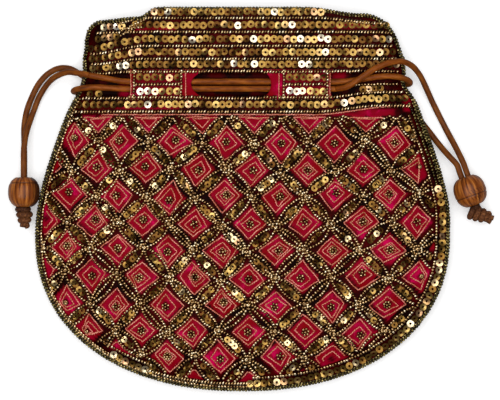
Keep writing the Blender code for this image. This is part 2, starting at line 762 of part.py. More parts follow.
def right_cord_route():
    """From the right knot behind the neck, round the left edge and back along the front."""
    back_start = strand_end("right", -1, STRAIGHT_ABOVE_BEAD["right"])[::-1]
    front_end = strand_end("right", 1, STRAIGHT_ABOVE_BEAD["right"])
    route = back_start + beside_neck(RIGHT_BACK_PULL[::-1], 1)
    route += channel_run(LOWER_LANE, RIGHT_CORD_BACK_RUN, -1)[::-1]
    route += beside_neck(RIGHT_CORD_ROUND_LEFT, -1)
    route += channel_run(LOWER_LANE, RIGHT_CORD_FRONT_RUN, 1)
    return route + beside_neck(RIGHT_FRONT_PULL, 1) + front_end


def place_turned(thing, place, along):
    """Lays a piece that was turned about +X on its bead's axis, so many metres past the bead's middle."""
    centre, axis, _ = bead_frame(place)
    thing.location = Vector(centre + axis * along)
    thing.rotation_euler = (0.0, 0.0, math.radians(BEADS[place]["heading"]))


def turned(name, rings, closed, finish, segments=16, wobble=0.0):
    """A body of rings about +X, each with its place along the axis, its radius and its twist."""
    verts = []
    for along, radius, twist in rings:
        for segment in range(segments):
            angle = 2 * math.pi * segment / segments
            reach = radius * (1 + wobble * math.cos(2 * angle + twist))
            verts.append((along, reach * math.cos(angle), reach * math.sin(angle)))
    faces = []
    pairs = list(zip(range(len(rings)), list(range(1, len(rings))) + [0]))
    for here, there in pairs if closed else pairs[:-1]:
        for segment in range(segments):
            after = (segment + 1) % segments
            first, second = here * segments + segment, here * segments + after
            third, fourth = there * segments + after, there * segments + segment
            faces.append((first, second, third, fourth))
    if not closed:
        faces.append(tuple(reversed(range(segments))))
        faces.append(tuple(range((len(rings) - 1) * segments, len(rings) * segments)))
    return mesh_object(name, verts, faces, finish, smooth_below=40)


def make_bead(place, finish):
    """A round wooden bead with a wide bore for the cord's two strands."""
    half = BEAD_LENGTH / 2
    rings = [(-half, BORE_RADIUS, 0.0)]
    end_radius = BORE_RADIUS + BEAD_END_FLAT
    pole = half / (1 - (end_radius / BEAD_HEIGHT) ** BEAD_CURVE_POWER) ** (1 / BEAD_CURVE_POWER)
    for along in half * np.array([-1.0, -0.93, -0.75, -0.45, 0.0, 0.45, 0.75, 0.93, 1.0]):
        radius = BEAD_HEIGHT * (1 - abs(along / pole) ** BEAD_CURVE_POWER) ** (1 / BEAD_CURVE_POWER)
        rings.append((along, radius, 0.0))
    rings.append((half, BORE_RADIUS, 0.0))
    bead = turned(f"{place}_bead", rings, True, finish)
    place_turned(bead, place, 0.0)


def make_knot(place, tail, finish):
    """The two cord ends tied in one lump under the bead, with a stub of cord left over."""
    half = KNOT_LENGTH / 2
    radius = KNOT_DIAMETER / 2
    shares = [(-1.0, 0.55), (-0.82, 0.86), (-0.45, 1.0), (-0.05, 0.9), (0.35, 1.0), (0.78, 0.8), (1.0, 0.45)]
    rings = [(half * along, radius * share, 2.6 * along) for along, share in shares]
    if tail:
        rings += [(half + 0.4 * tail, CORD_RADIUS * 1.1, 2.6), (half + tail, CORD_RADIUS, 2.6)]
    knot = turned(f"{place}_knot", rings, False, finish, segments=12, wobble=0.1)
    place_turned(knot, place, BEAD_LENGTH / 2 + CLEARANCE + half)


def main():
    start_empty()
    embroidery = material("gold_beadwork", (0.21, 0.06, 0.02), 0.45, 0.3)
    satin = material("crimson_satin", (0.35, 0.004, 0.035), 0.5)
    beading = material("edge_beads", (0.12, 0.06, 0.015), 0.4, 0.4)
    leather = material("tan_leather", (0.22, 0.055, 0.012), 0.45)
    wood = material("lacquered_wood", (0.20, 0.035, 0.012), 0.3)
    suede = material("dark_suede", (0.09, 0.03, 0.015), 0.8)
    for face in FACES:
        make_cloth(face, embroidery, satin)
        for place in TAB_SPANS:
            make_tab(face, place, embroidery)
    make_seam_beading(beading)
    tube("left_drawcord", smooth_route(left_cord_route()), CORD_RADIUS, 2, leather)
    tube("right_drawcord", smooth_route(right_cord_route()), CORD_RADIUS, 2, leather)
    make_bead("left", wood)
    make_bead("right", wood)
    make_knot("left", 0.0, suede)
    make_knot("right", KNOT_TAIL, suede)


main()
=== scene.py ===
"""The looks of a beaded potli bag that lies on its back, with its mouth towards +Y.

Sizes are in metres. The sections run from the drawcords with their wooden beads and knots to the
two satin faces and their linings, the beadwork that is sewn on them, the tabs and the seam.
"""

import math

import bpy
import numpy as np
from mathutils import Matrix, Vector


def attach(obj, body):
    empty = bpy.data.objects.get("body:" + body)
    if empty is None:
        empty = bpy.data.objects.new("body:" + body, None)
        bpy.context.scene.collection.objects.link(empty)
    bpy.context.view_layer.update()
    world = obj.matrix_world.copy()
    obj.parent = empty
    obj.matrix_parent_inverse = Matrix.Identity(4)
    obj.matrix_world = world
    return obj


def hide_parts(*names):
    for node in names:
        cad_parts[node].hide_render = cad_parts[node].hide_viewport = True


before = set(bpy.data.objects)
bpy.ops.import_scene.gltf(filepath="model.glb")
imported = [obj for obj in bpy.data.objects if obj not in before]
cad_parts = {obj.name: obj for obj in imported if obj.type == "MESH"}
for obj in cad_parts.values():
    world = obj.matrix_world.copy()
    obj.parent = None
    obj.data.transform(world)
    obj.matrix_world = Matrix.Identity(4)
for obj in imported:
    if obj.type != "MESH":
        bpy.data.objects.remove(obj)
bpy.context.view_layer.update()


# The room: a white table under the bag, one large soft lamp and a pale sky. The camera looks
# straight down, as the photograph does. The table is white to the camera by its own colour.
scene = bpy.context.scene
scene.view_settings.view_transform = "Standard"
camera_data = bpy.data.cameras.new("overhead_camera")
camera_data.sensor_width = 36.0
camera_data.lens = 156.0
camera_data.clip_start = 0.05
camera = bpy.data.objects.new("overhead_camera", camera_data)
camera.location = (0.00415, 0.0, 1.215)
scene.collection.objects.link(camera)
scene.camera = camera


def set_inputs(tree, node, inputs):
    """Gives each named input of a node its value, or joins it to another node's output."""
    for name, value in inputs.items():
        if isinstance(value, bpy.types.NodeSocket):
            tree.links.new(value, node.inputs[name])
        else:
            node.inputs[name].default_value = value


def add_node(tree, kind, inputs=None, **settings):
    """A new node with its settings and its inputs."""
    node = tree.nodes.new(kind)
    for name, value in settings.items():
        setattr(node, name, value)
    set_inputs(tree, node, inputs or {})
    return node


def mixed(tree, factor, first, second, blend="MIX"):
    """Two colours mixed by a factor."""
    inputs = {"Factor": factor, "A": first, "B": second}
    return add_node(tree, "ShaderNodeMix", inputs, data_type="RGBA", blend_type=blend).outputs["Result"]


def new_finish(name, roughness, metallic=0.0):
    """A Principled material, with its node tree and its shader."""
    finish = bpy.data.materials.new(name)
    finish.use_nodes = True
    shader = finish.node_tree.nodes["Principled BSDF"]
    set_inputs(finish.node_tree, shader, {"Roughness": roughness, "Metallic": metallic})
    return finish, finish.node_tree, shader


world = bpy.data.worlds.new("pale_sky")
scene.world = world
world.use_nodes = True
tree = world.node_tree
rays = add_node(tree, "ShaderNodeLightPath").outputs
seen = {0: rays["Is Camera Ray"], 1: rays["Is Transmission Ray"]}
seen = add_node(tree, "ShaderNodeMath", seen, operation="MAXIMUM").outputs[0]
sky_level = add_node(tree, "ShaderNodeMapRange", {"Value": seen, "To Min": 0.10, "To Max": 1.0})
set_inputs(tree, tree.nodes["Background"], {
    "Strength": sky_level.outputs["Result"], "Color": (1.0, 0.985, 0.96, 1.0),
})

for lamp_name, place, watts, across in (
    ("ceiling_softbox", (0.0, 0.10, 1.60), 29.8, 2.20),
    ("window_lamp", (-0.55, -0.30, 0.90), 1.0, 0.30),
):
    lamp_data = bpy.data.lights.new(lamp_name, "AREA")
    lamp_data.shape = "DISK"
    lamp_data.size = across
    lamp_data.energy = watts
    lamp = bpy.data.objects.new(lamp_name, lamp_data)
    lamp.location = place
    lamp.rotation_euler = (-Vector(place)).to_track_quat("-Z", "Y").to_euler()
    scene.collection.objects.link(lamp)

table_mesh = bpy.data.meshes.new("table")
TABLE_REACH, TABLE_LEVEL = 3.0, -0.0002
corners = [(x * TABLE_REACH, y * TABLE_REACH, TABLE_LEVEL) for x, y in ((-1, -1), (1, -1), (1, 1), (-1, 1))]
table_mesh.from_pydata(corners, [], [(0, 1, 2, 3)])
table = bpy.data.objects.new("table", table_mesh)
scene.collection.objects.link(table)
table_finish, tree, shader = new_finish("white_table", 0.9)
to_camera = add_node(tree, "ShaderNodeLightPath").outputs["Is Camera Ray"]
glow = add_node(tree, "ShaderNodeMath", {0: to_camera, 1: 0.30}, operation="MULTIPLY")
set_inputs(tree, shader, {
    "Base Color": mixed(tree, to_camera, (0.62, 0.62, 0.62, 1), (1.0, 1.0, 1.0, 1)),
    "Emission Color": (1, 1, 1, 1), "Emission Strength": glow.outputs[0],
})
table_mesh.materials.append(table_finish)


# The drawcords: two round leather cords, 3.4 mm thick. Each goes once round the neck in the channel,
# and both its ends leave the bag on one side, go through a wooden bead and are tied below it.
CORD_RADIUS, CORD_SIDES = 0.0017, 14
STRAND_OFFSET = 0.00185
LANES = {"left": 0.0655, "right": 0.0615}
FRONT_LEVEL, BACK_LEVEL = 0.0168, 0.0030
BEAD_LENGTH = 0.0164
BEAD_PLACES = {
    "left": {"centre": (-0.1216, 0.0044, 0.009), "heading": -90.0, "straight": 0.0130},
    "right": {"centre": (0.1266, 0.0050, 0.009), "heading": -70.0, "straight": 0.0080},
}
LEFT_FRONT_PULL = [
    (-121.1, 33.6, 9.2), (-119.5, 41.4, 6.2), (-117.0, 49.2, 3.7), (-113.1, 58.6, 4.0),
    (-106.6, 67.0, 7.0), (-98.4, 70.8, 10.8), (-91.0, 70.3, 14.4), (-84.5, 69.0, 16.5),
    (-77.0, 67.6, 16.8), (-69.5, 66.2, 16.8),
]
LEFT_BACK_PULL = [
    (-84.0, 66.2, 3.0), (-90.0, 69.8, 3.0), (-96.4, 73.4, 2.8), (-103.0, 73.6, 2.3),
    (-109.2, 70.4, 2.0), (-114.2, 64.8, 1.9), (-118.0, 57.4, 1.9), (-120.9, 49.4, 1.9),
    (-122.2, 41.4, 2.4), (-122.0, 34.0, 4.8),
]
LEFT_CORD_ROUND_RIGHT = [
    (64.0, 66.6, 16.8), (71.0, 67.7, 16.8), (78.0, 68.4, 16.8), (83.0, 68.4, 16.7),
    (87.6, 67.8, 15.7), (91.0, 66.8, 13.7), (92.8, 65.8, 11.6), (93.2, 65.0, 9.9),
    (92.8, 64.6, 8.1), (91.0, 64.4, 6.0), (87.6, 64.6, 4.1), (83.0, 65.0, 3.1), (76.0, 65.4, 3.0),
]
RIGHT_CORD_ROUND_LEFT = [
    (-76.0, 61.4, 3.0), (-83.0, 61.0, 3.0), (-87.8, 60.5, 3.9), (-91.7, 60.2, 5.8),
    (-93.6, 60.2, 8.0), (-94.0, 60.4, 9.9), (-93.6, 60.8, 11.7), (-91.7, 61.4, 13.9),
    (-87.8, 62.0, 15.8), (-83.0, 62.3, 16.8), (-78.0, 62.2, 16.8), (-71.0, 61.8, 16.8),
]
RIGHT_FRONT_PULL = [
    (51.5, 61.5, 17.0), (56.6, 62.1, 19.5), (61.4, 64.5, 21.2), (67.0, 68.6, 21.5),
    (73.8, 72.8, 21.0), (81.2, 75.8, 19.2), (88.6, 76.6, 15.8), (94.4, 74.2, 11.9),
    (98.8, 69.4, 8.2), (102.4, 62.8, 5.0), (106.2, 54.8, 2.8), (110.4, 46.4, 2.1),
    (114.6, 38.0, 3.0), (118.6, 30.0, 6.2),
]
RIGHT_BACK_PULL = [
    (83.0, 60.6, 3.0), (88.0, 58.2, 2.9), (91.8, 54.4, 2.6), (95.2, 50.0, 2.2),
    (98.8, 45.4, 2.0), (102.4, 40.8, 1.9), (106.4, 35.6, 2.3), (110.6, 30.0, 4.2), (114.8, 24.8, 7.0),
]


def bead_axis(place):
    """A bead's middle and the direction from the bag to its knot, from its heading in degrees."""
    turn = math.radians(BEAD_PLACES[place]["heading"])
    return np.array(BEAD_PLACES[place]["centre"]), np.array([math.cos(turn), math.sin(turn), 0.0])


def through_bead(place, sign):
    """A strand's last stretch: straight to the bead and through it, half a strand off its axis."""
    centre, axis = bead_axis(place)
    step = np.array([0, 0, 1.0]) if place == "left" else np.array([-axis[1], axis[0], 0.0])
    half, straight = BEAD_LENGTH / 2, BEAD_PLACES[place]["straight"]
    stops = np.array([-half - straight, -half - straight / 2, -half, 0, half])
    return centre + sign * step * STRAND_OFFSET + stops[:, None] * axis


def lane_run(lane, start, end, level):
    """Five points along one lane of the channel."""
    x = np.linspace(start, end, 5)
    return np.column_stack([x, np.full(5, lane), np.full(5, level)])


def smooth_line(route, step):
    """A route as a smooth line with even steps: a cubic between its points, resampled by length."""
    padded = np.vstack([2 * route[0] - route[1], route, 2 * route[-1] - route[-2]])
    before, start, end, after = padded[:-3], padded[1:-2], padded[2:-1], padded[3:]
    gap = np.linalg.norm(end - start, axis=1)[:, None]
    lead_in = (end - before) / (np.linalg.norm(start - before, axis=1)[:, None] + gap) * gap
    lead_out = (after - start) / (np.linalg.norm(after - end, axis=1)[:, None] + gap) * gap
    part = np.linspace(0, 1, 24, endpoint=False)[None, :, None]
    square, cube = part**2, part**3
    line = (2 * cube - 3 * square + 1) * start[:, None] + (cube - 2 * square + part) * lead_in[:, None]
    line = line + (3 * square - 2 * cube) * end[:, None] + (cube - square) * lead_out[:, None]
    line = np.vstack([line.reshape(-1, 3), route[-1]])
    return evenly_spaced(line, step)


def run_along(line):
    """The length of a line up to each of its points."""
    return np.concatenate([[0], np.cumsum(np.linalg.norm(np.diff(line, axis=0), axis=1))])


def read_along(stops, run, line):
    """A line at the given stops, when each of its own points lies at its run."""
    return np.column_stack([np.interp(stops, run, line[:, axis]) for axis in range(line.shape[1])])


def evenly_spaced(line, step):
    """A line's points again, about one step apart along its length."""
    run = run_along(line)
    return read_along(np.linspace(0, run[-1], max(2, round(run[-1] / step) + 1)), run, line)


def unit(vectors):
    """The vectors, each made 1 long."""
    return vectors / np.linalg.norm(vectors, axis=1)[:, None]


def grid_faces(rows, columns, around=False, closed=False):
    """Quads between neighbouring points of a grid. Around, its last column joins its first, and
    closed, its last row joins its first."""
    row = np.arange(rows if closed else rows - 1)[:, None]
    column = np.arange(columns if around else columns - 1)[None, :]
    start, end, after = row * columns, (row + 1) % rows * columns, (column + 1) % columns
    return np.stack([start + column, start + after, end + after, end + column], axis=-1).reshape(-1, 4)


def end_caps(rows, sides):
    """Triangles that close both ends of a grid of rings with the two poles that follow its points."""
    here = np.arange(sides)
    there, pole, last = np.roll(here, -1), rows * sides, (rows - 1) * sides
    start = np.stack([np.full(sides, pole), there, here], axis=-1)
    return start, np.stack([np.full(sides, pole + 1), here + last, there + last], axis=-1)


def rod(line, radius, sides, reference, closed=False):
    """A round rod carried along a line. Each ring is square to the line and starts at a reference.

    The point at an angle is the line + radius * (cos * normal + sin * binormal).
    """
    tangent = unit(np.roll(line, -1, 0) - np.roll(line, 1, 0) if closed else np.gradient(line, axis=0))
    normal = unit(reference - np.sum(reference * tangent, axis=1)[:, None] * tangent)
    angle = np.linspace(0, 2 * np.pi, sides, endpoint=False)[None, :, None]
    ring = np.cos(angle) * normal[:, None] + np.sin(angle) * np.cross(tangent, normal)[:, None]
    radius = np.broadcast_to(radius, (len(line), sides))[:, :, None]
    points = (line[:, None] + radius * ring).reshape(-1, 3)
    quads = grid_faces(len(line), sides, around=True, closed=closed)
    if closed:
        return points, [quads]
    return np.vstack([points, line[0], line[-1]]), [quads, *end_caps(len(line), sides)]


def new_piece(name, points, face_groups, finish, body, smooth=True, uv=None, tint=None):
    """One named mesh from whole arrays: its points, and faces in groups of equal corner counts."""
    mesh = bpy.data.meshes.new(name)
    corners = np.concatenate([np.ravel(group) for group in face_groups]).astype(np.int32)
    counts = np.concatenate([np.full(len(group), np.shape(group)[1]) for group in face_groups])
    starts = np.concatenate([[0], np.cumsum(counts)[:-1]]).astype(np.int32)
    mesh.vertices.add(len(points))
    mesh.vertices.foreach_set("co", np.asarray(points, dtype=np.float32).ravel())
    mesh.loops.add(len(corners))
    mesh.loops.foreach_set("vertex_index", corners)
    mesh.polygons.add(len(counts))
    mesh.polygons.foreach_set("loop_start", starts)
    mesh.polygons.foreach_set("use_smooth", np.full(len(counts), smooth))
    if uv is not None:
        layer = mesh.uv_layers.new(name="along_and_across")
        layer.data.foreach_set("uv", np.asarray(uv, dtype=np.float32)[corners].ravel())
    if tint is not None:
        values = mesh.attributes.new("tint", "FLOAT", "POINT")
        values.data.foreach_set("value", np.asarray(tint, dtype=np.float32))
    mesh.update(calc_edges=True)
    mesh.validate()
    mesh.materials.append(finish)
    piece = bpy.data.objects.new(name, mesh)
    scene.collection.objects.link(piece)
    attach(piece, body)
    return piece


def ramp(tree, value, stops):
    """A colour ramp through the given places and linear colours, read at a value."""
    made = add_node(tree, "ShaderNodeValToRGB", {"Fac": value})
    elements = made.color_ramp.elements
    while len(elements) < len(stops):
        elements.new(0.5)
    for element, (place, colour) in zip(elements, stops):
        element.position = place
        element.color = (*colour, 1.0)
    return made.outputs["Color"]


def noise(tree, vector, scale, detail=2.0, distortion=0.0):
    """Soft noise from 0 to 1 over a position."""
    inputs = {"Vector": vector, "Scale": scale, "Detail": detail, "Distortion": distortion}
    return add_node(tree, "ShaderNodeTexNoise", inputs).outputs["Fac"]


def bump(tree, height, strength, distance):
    """A normal that follows a height."""
    inputs = {"Height": height, "Strength": strength, "Distance": distance}
    return add_node(tree, "ShaderNodeBump", inputs).outputs["Normal"]


def own_place(tree):
    """The piece's own Object coordinates."""
    return add_node(tree, "ShaderNodeTexCoord").outputs["Object"]


def own_uv(tree):
    """The piece's own UV map."""
    return add_node(tree, "ShaderNodeUVMap", uv_map="along_and_across").outputs["UV"]


def own_tint(tree):
    """The piece's own tint, from 0 to 1."""
    return add_node(tree, "ShaderNodeAttribute", attribute_name="tint").outputs["Fac"]


leather, tree, shader = new_finish("tan_cord_leather", 0.42)
stretched = add_node(tree, "ShaderNodeMapping", {"Vector": own_uv(tree), "Scale": (90.0, 3.0, 1.0)})
grain = noise(tree, own_place(tree), 2600.0, 3.0)
tan = ramp(tree, noise(tree, stretched.outputs["Vector"], 1.6, 4.0), [
    (0.28, (0.080, 0.016, 0.0015)), (0.5, (0.23, 0.053, 0.004)), (0.74, (0.40, 0.115, 0.010)),
])
worn = add_node(tree, "ShaderNodeMapRange", {"Value": grain, "To Min": 0.34, "To Max": 0.58})
# The tint multiplies a grey-blue painted shade into the strands beyond the bag.
set_inputs(tree, shader, {
    "Base Color": mixed(tree, own_tint(tree), tan, (0.66, 0.72, 0.80, 1), "MULTIPLY"),
    "Roughness": worn.outputs["Result"], "Specular IOR Level": 0.14, "Normal": bump(tree, grain, 0.35, 0.0002),
})


def cord_piece(name, line, turned, cad_node):
    """A round leather cord along a line, a little uneven in thickness along its length.

    Its reference turns from +Z to +Y across the neck, so that it is never along the cord.
    """
    lean = np.clip((turned * line[:, 0] + 0.04) / 0.08, 0, 1) * np.pi / 2
    reference = np.column_stack([np.zeros(len(line)), np.sin(lean), np.cos(lean)])
    run = run_along(line)
    angle = np.linspace(0, 2 * np.pi, CORD_SIDES, endpoint=False)[None, :]
    uneven = 1 + 0.012 * np.sin(run * 410)[:, None] + 0.018 * np.cos(2 * angle + 90 * run[:, None])
    points, faces = rod(line, CORD_RADIUS * 0.985 * uneven, CORD_SIDES, reference)
    around = np.tile(np.arange(CORD_SIDES) / CORD_SIDES, len(line))
    uv = np.vstack([np.column_stack([np.repeat(run, CORD_SIDES), around]), [0, 0], [run[-1], 0]])
    # Painted shade: the strands are darkened past |x| = 82 mm, beyond the bag.
    painted_shade_beyond_bag = np.clip((np.abs(points[:, 0]) - 0.082) / 0.02, 0, 1)
    piece = new_piece(name, points, faces, leather, "bag", uv=uv, tint=painted_shade_beyond_bag)
    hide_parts(cad_node)
    return piece


MM = 0.001
left_line = smooth_line(np.vstack([
    through_bead("left", 1)[::-1],
    np.array(LEFT_FRONT_PULL) * MM,
    lane_run(LANES["left"], -0.062, 0.056, FRONT_LEVEL),
    np.array(LEFT_CORD_ROUND_RIGHT) * MM,
    lane_run(LANES["left"], 0.068, -0.076, BACK_LEVEL),
    np.array(LEFT_BACK_PULL) * MM,
    through_bead("left", -1),
]), 0.0012)
right_line = smooth_line(np.vstack([
    through_bead("right", -1)[::-1],
    np.array(RIGHT_BACK_PULL[::-1]) * MM,
    lane_run(LANES["right"], 0.076, -0.068, BACK_LEVEL),
    np.array(RIGHT_CORD_ROUND_LEFT) * MM,
    lane_run(LANES["right"], -0.064, 0.046, FRONT_LEVEL),
    np.array(RIGHT_FRONT_PULL) * MM,
    through_bead("right", 1),
]), 0.0012)


def split_cord(side, line, leaves, returns, turned):
    """One drawcord in three pieces: a free strand, the stretch round the neck and a free strand.

    The free strands end where the cord leaves the bag and where it comes back.
    """
    first, last = (
        int(np.argmin(np.linalg.norm(line - np.array(end) * MM, axis=1))) for end in (leaves, returns)
    )
    node = f"{side}_drawcord"
    strands = []
    for name, part in (("first", line[:first + 1]), ("second", line[last:])):
        strand = cord_piece(f"{side}_{name}_strand", part, turned, node)
        start = part[-1] if name == "first" else part[0]
        length = float(run_along(part)[-1])
        strands.append((strand, part, start, length))
    cord_piece(f"{side}_cord_round_neck", line[first:last + 1], turned, node)
    return strands


left_strands = split_cord("left", left_line, (-84.5, 69.0, 16.5), (-84.0, 66.2, 3.0), 1)
right_strands = split_cord("right", right_line, (83.0, 60.6, 3.0), (51.5, 61.5, 17.0), -1)


# The wooden beads: turned from a warm brown wood and lacquered. The left one has a groove near its
# top and fine flutes, with a painted shade down its right side and along its far left edge. The right
# one has crossed grooves with carved marks beside them. Both strands of a cord go through the wide
# bore, and the knot below stops the bead.
BEAD_RADIUS, BEAD_BORE = 0.009, 0.00385
BEAD_POWER = 2.4
BEAD_RINGS, BEAD_TURNS = 61, 144
GROOVE_DEPTH = 0.00035
lacquer, tree, shader = new_finish("lacquered_red_wood", 0.38)
long_grain = add_node(tree, "ShaderNodeMapping", {"Vector": own_uv(tree), "Scale": (70.0, 34.0, 1.0)})
wood_grain = noise(tree, long_grain.outputs["Vector"], 1.0, 5.0, 0.6)
red_wood = ramp(tree, wood_grain, [
    (0.30, (0.055, 0.011, 0.002)), (0.48, (0.22, 0.052, 0.007)), (0.70, (0.52, 0.175, 0.028)),
])
# The tint mixes in a near-black brown: dark in the cuts, and a painted shade on the left bead's sides.
set_inputs(tree, shader, {
    "Base Color": mixed(tree, own_tint(tree), red_wood, (0.022, 0.006, 0.004, 1)),
    "Specular IOR Level": 0.16, "Coat Weight": 0.10, "Coat Roughness": 0.16,
    "Normal": bump(tree, wood_grain, 0.15, 0.0002),
})


def smoothstep(value):
    """0 below 0, 1 above 1, and an S-curve between them."""
    value = np.clip(value, 0.0, 1.0)
    return value * value * (3 - 2 * value)


def wooden_bead(place, groove):
    """A bead turned round its axis: radius = 9 mm * (1 - |share| ** 2.4) ** (1 / 2.4), less what is
    cut into it: a groove round it at a share of its length, and flutes or marks beside it. The tint is
    dark in the cuts, and on the left bead it is also a painted shade down the right side and along the
    far left edge, which are turned in by up to 0.35 mm as well."""
    centre, axis = bead_axis(place)
    half = BEAD_LENGTH / 2
    share = np.sin(np.linspace(-np.pi / 2, np.pi / 2, BEAD_RINGS))
    pole = half / (1 - ((BEAD_BORE + 0.0007) / BEAD_RADIUS) ** BEAD_POWER) ** (1 / BEAD_POWER)
    radius = BEAD_RADIUS * (1 - np.abs(share * half / pole) ** BEAD_POWER) ** (1 / BEAD_POWER)
    turn = np.linspace(-np.pi / 2, 1.5 * np.pi, BEAD_TURNS, endpoint=False)[None, :]
    level = share[:, None]
    depth = np.exp(-(((level - groove) / 0.030) ** 2)) * np.ones_like(turn)
    if place == "left":
        side = np.cos(turn)
        depth += 0.30 * np.cos(15 * turn) ** 8 * (np.abs(level) < 0.52) * (np.abs(side) > 0.40)
        # Painted shade on the left bead: darker down its right side and along its far left edge.
        depth += 0.80 * smoothstep((side - 0.52) / 0.40) + 0.35 * smoothstep((-0.80 - side) / 0.20)
    else:
        depth += np.exp(-(((turn - 1.2) / 0.045) ** 2)) * (level > groove) * (level < 0.85)
        marks = np.cos(16 * turn + 9 * level) ** 10 * (np.abs(turn - 1.0) < 0.75)
        depth += 0.7 * marks * ((np.abs(level - groove + 0.26) < 0.16) | (np.abs(level - groove - 0.24) < 0.14))
    depth = np.clip(depth, 0, 1)
    bore_rings = np.full((5, BEAD_TURNS), BEAD_BORE)
    reach = np.vstack([radius[:, None] - GROOVE_DEPTH * depth, bore_rings])
    along_axis = np.concatenate([share, np.linspace(1, -1, 5)])[:, None] * np.ones_like(turn)
    side_way = np.array([-axis[1], axis[0], 0.0])
    ring = np.cos(turn)[..., None] * side_way + np.sin(turn)[..., None] * np.array([0, 0, 1.0])
    points = centre + along_axis[..., None] * half * axis + reach[..., None] * ring
    faces = grid_faces(len(reach), BEAD_TURNS, around=True, closed=True)[:, ::-1]
    around = np.tile((turn / (2 * np.pi) + 0.25).ravel(), len(reach))
    uv = np.column_stack([(along_axis * half).ravel(), around])
    tint = np.vstack([depth, np.zeros_like(bore_rings)]).ravel()
    bead = new_piece(
        f"{place}_wooden_bead", points.reshape(-1, 3), [faces], lacquer, f"{place}_bead", uv=uv, tint=tint,
    )
    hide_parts(f"{place}_bead")
    return bead


left_wooden_bead = wooden_bead("left", -0.62)
right_wooden_bead = wooden_bead("right", 0.32)


# The knots: both ends of a cord wound and tied tight under the bead, in three turns that get
# smaller, below a short neck. The cut ends stick out. The leather carries a painted shade beside the bead.
suede, tree, shader = new_finish("dark_knot_leather", 0.75)
nap = noise(tree, own_place(tree), 1100.0, 4.0)
dark = ramp(tree, nap, [(0.3, (0.045, 0.012, 0.004)), (0.52, (0.14, 0.045, 0.013)), (0.75, (0.30, 0.12, 0.038))])
# The tint multiplies a painted shade into the leather next to the bead.
set_inputs(tree, shader, {
    "Base Color": mixed(tree, own_tint(tree), dark, (0.20, 0.15, 0.16, 1), "MULTIPLY"),
    "Specular IOR Level": 0.2, "Normal": bump(tree, nap, 0.6, 0.0003),
})


def tied_knot(place, lean, widths, length, tails):
    """A cord wound three times round itself along a way that leans from the bead's axis: each point is
    the way's point + radius * (cos * side + sin * up), with the radius eased in and going from one
    width to the other. A core fills its middle, a neck joins it to the bead, and a stub stands for
    each cut end."""
    centre, axis = bead_axis(place)
    side_way = np.array([-axis[1], axis[0], 0.0])
    middle = centre + axis * (BEAD_LENGTH / 2 + (0.0053 if place == "left" else 0.0055))
    way = axis * math.cos(lean) + side_way * math.sin(lean)
    side = side_way * math.cos(lean) - axis * math.sin(lean)
    up = np.array([0, 0, 1.0])
    share = np.linspace(0, 1, 100)[:, None]
    turn = share * 2 * np.pi * 3.1
    radius = (widths[0] + (widths[1] - widths[0]) * share) * (0.55 + 0.45 * smoothstep(share / 0.22))
    forward = (share - 0.5) * length + 0.0007 * np.cos(turn)
    line = middle + forward * way + radius * (np.cos(turn) * side + np.sin(turn) * up)
    core = middle + np.linspace(-0.55, 0.55, 10)[:, None] * length * way
    neck = centre + axis * np.linspace(BEAD_LENGTH / 2 - 0.0012, BEAD_LENGTH / 2 + 0.0045, 8)[:, None]
    pieces = [
        rod(line, 0.00165, 12, np.broadcast_to(way, line.shape)),
        rod(core, widths[1] + 0.0006, 12, np.broadcast_to(up, core.shape)),
        rod(neck, 0.0026, 12, np.broadcast_to(up, neck.shape)),
    ]
    for lean_side, lean_up, reach in tails:
        part = np.linspace(0, 1, 8)[:, None]
        stub = middle + part * (way * (length / 2 + reach) + side * lean_side + up * lean_up)
        pieces.append(rod(stub, 0.0017 - 0.0003 * part, 12, np.broadcast_to(up + 0.2 * side, stub.shape)))
    points, quads, caps, count = [], [], [], 0
    for part_points, (part_quads, start, end) in pieces:
        points.append(part_points)
        quads.append(part_quads + count)
        caps += [start + count, end + count]
        count += len(part_points)
    points = np.vstack(points)
    # Painted shade: the knot darkens over its first 6 mm from the bead.
    tint = np.clip(1.0 - ((points - centre) @ axis - BEAD_LENGTH / 2) / 0.0060, 0, 1)
    knot = new_piece(f"{place}_tied_knot", points, [np.vstack(quads), *caps], suede, "bag", tint=tint)
    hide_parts(f"{place}_knot")
    return knot


left_tied_knot = tied_knot(
    "left", 0.0, (0.0042, 0.0015), 0.0095, [(-0.0010, 0.0008, 0.0012), (0.0014, -0.0006, 0.0008)],
)
right_tied_knot = tied_knot(
    "right", 0.87, (0.0036, 0.0022), 0.0098, [(0.0008, 0.0010, 0.0038), (-0.0018, -0.0010, 0.0032)],
)


# The two faces of the bag: crimson satin, cut to one outline, swelling at the belly and drawn in at
# the neck, where the cords lie in a channel. The beadwork leaves a soft cushion in every diamond.
HALF_WIDTH, WIDEST, LOWER_DEPTH, OUTLINE_POWER = 0.115, -0.020, 0.086, 2.2
SEAM_HEIGHT = 0.0099
CHANNEL_MIDDLE = 0.0639
RIM_INSET, RIM_RISE = 0.0027, 0.00135
NECK_RISE, CHANNEL_RISE = 0.0074, 0.0049
FACES = {
    "front": {"side": 1, "rise": 0.0106, "power": 3.2, "fill": 1.0, "shift": 0.00484},
    "back": {"side": -1, "rise": 0.0079, "power": 5.0, "fill": 1.08, "shift": 0.007535},
}
LATTICE_X, LATTICE_Y, LATTICE_TOP = 0.01507, 0.01493, 0.0470
OPEN_SATIN = (
    (-0.0600, -0.0370, 0.0938, 0.0956), (0.0500, 0.0740, 0.0950, 0.0972), (-0.0700, -0.0350, 0.0500, 0.0516),
    (-0.0680, -0.0620, 0.0570, 0.0640), (0.0495, 0.0570, 0.0650, 0.0710), (0.0895, 0.0935, 0.0490, 0.0580),
    (0.0500, 0.0640, 0.0466, 0.0484), (0.0640, 0.0840, 0.0466, 0.0500),
)
rng = np.random.default_rng(7)
HAND_WOBBLE = {face: rng.normal(0, 0.00092, (2, 40, 40)) for face in FACES}


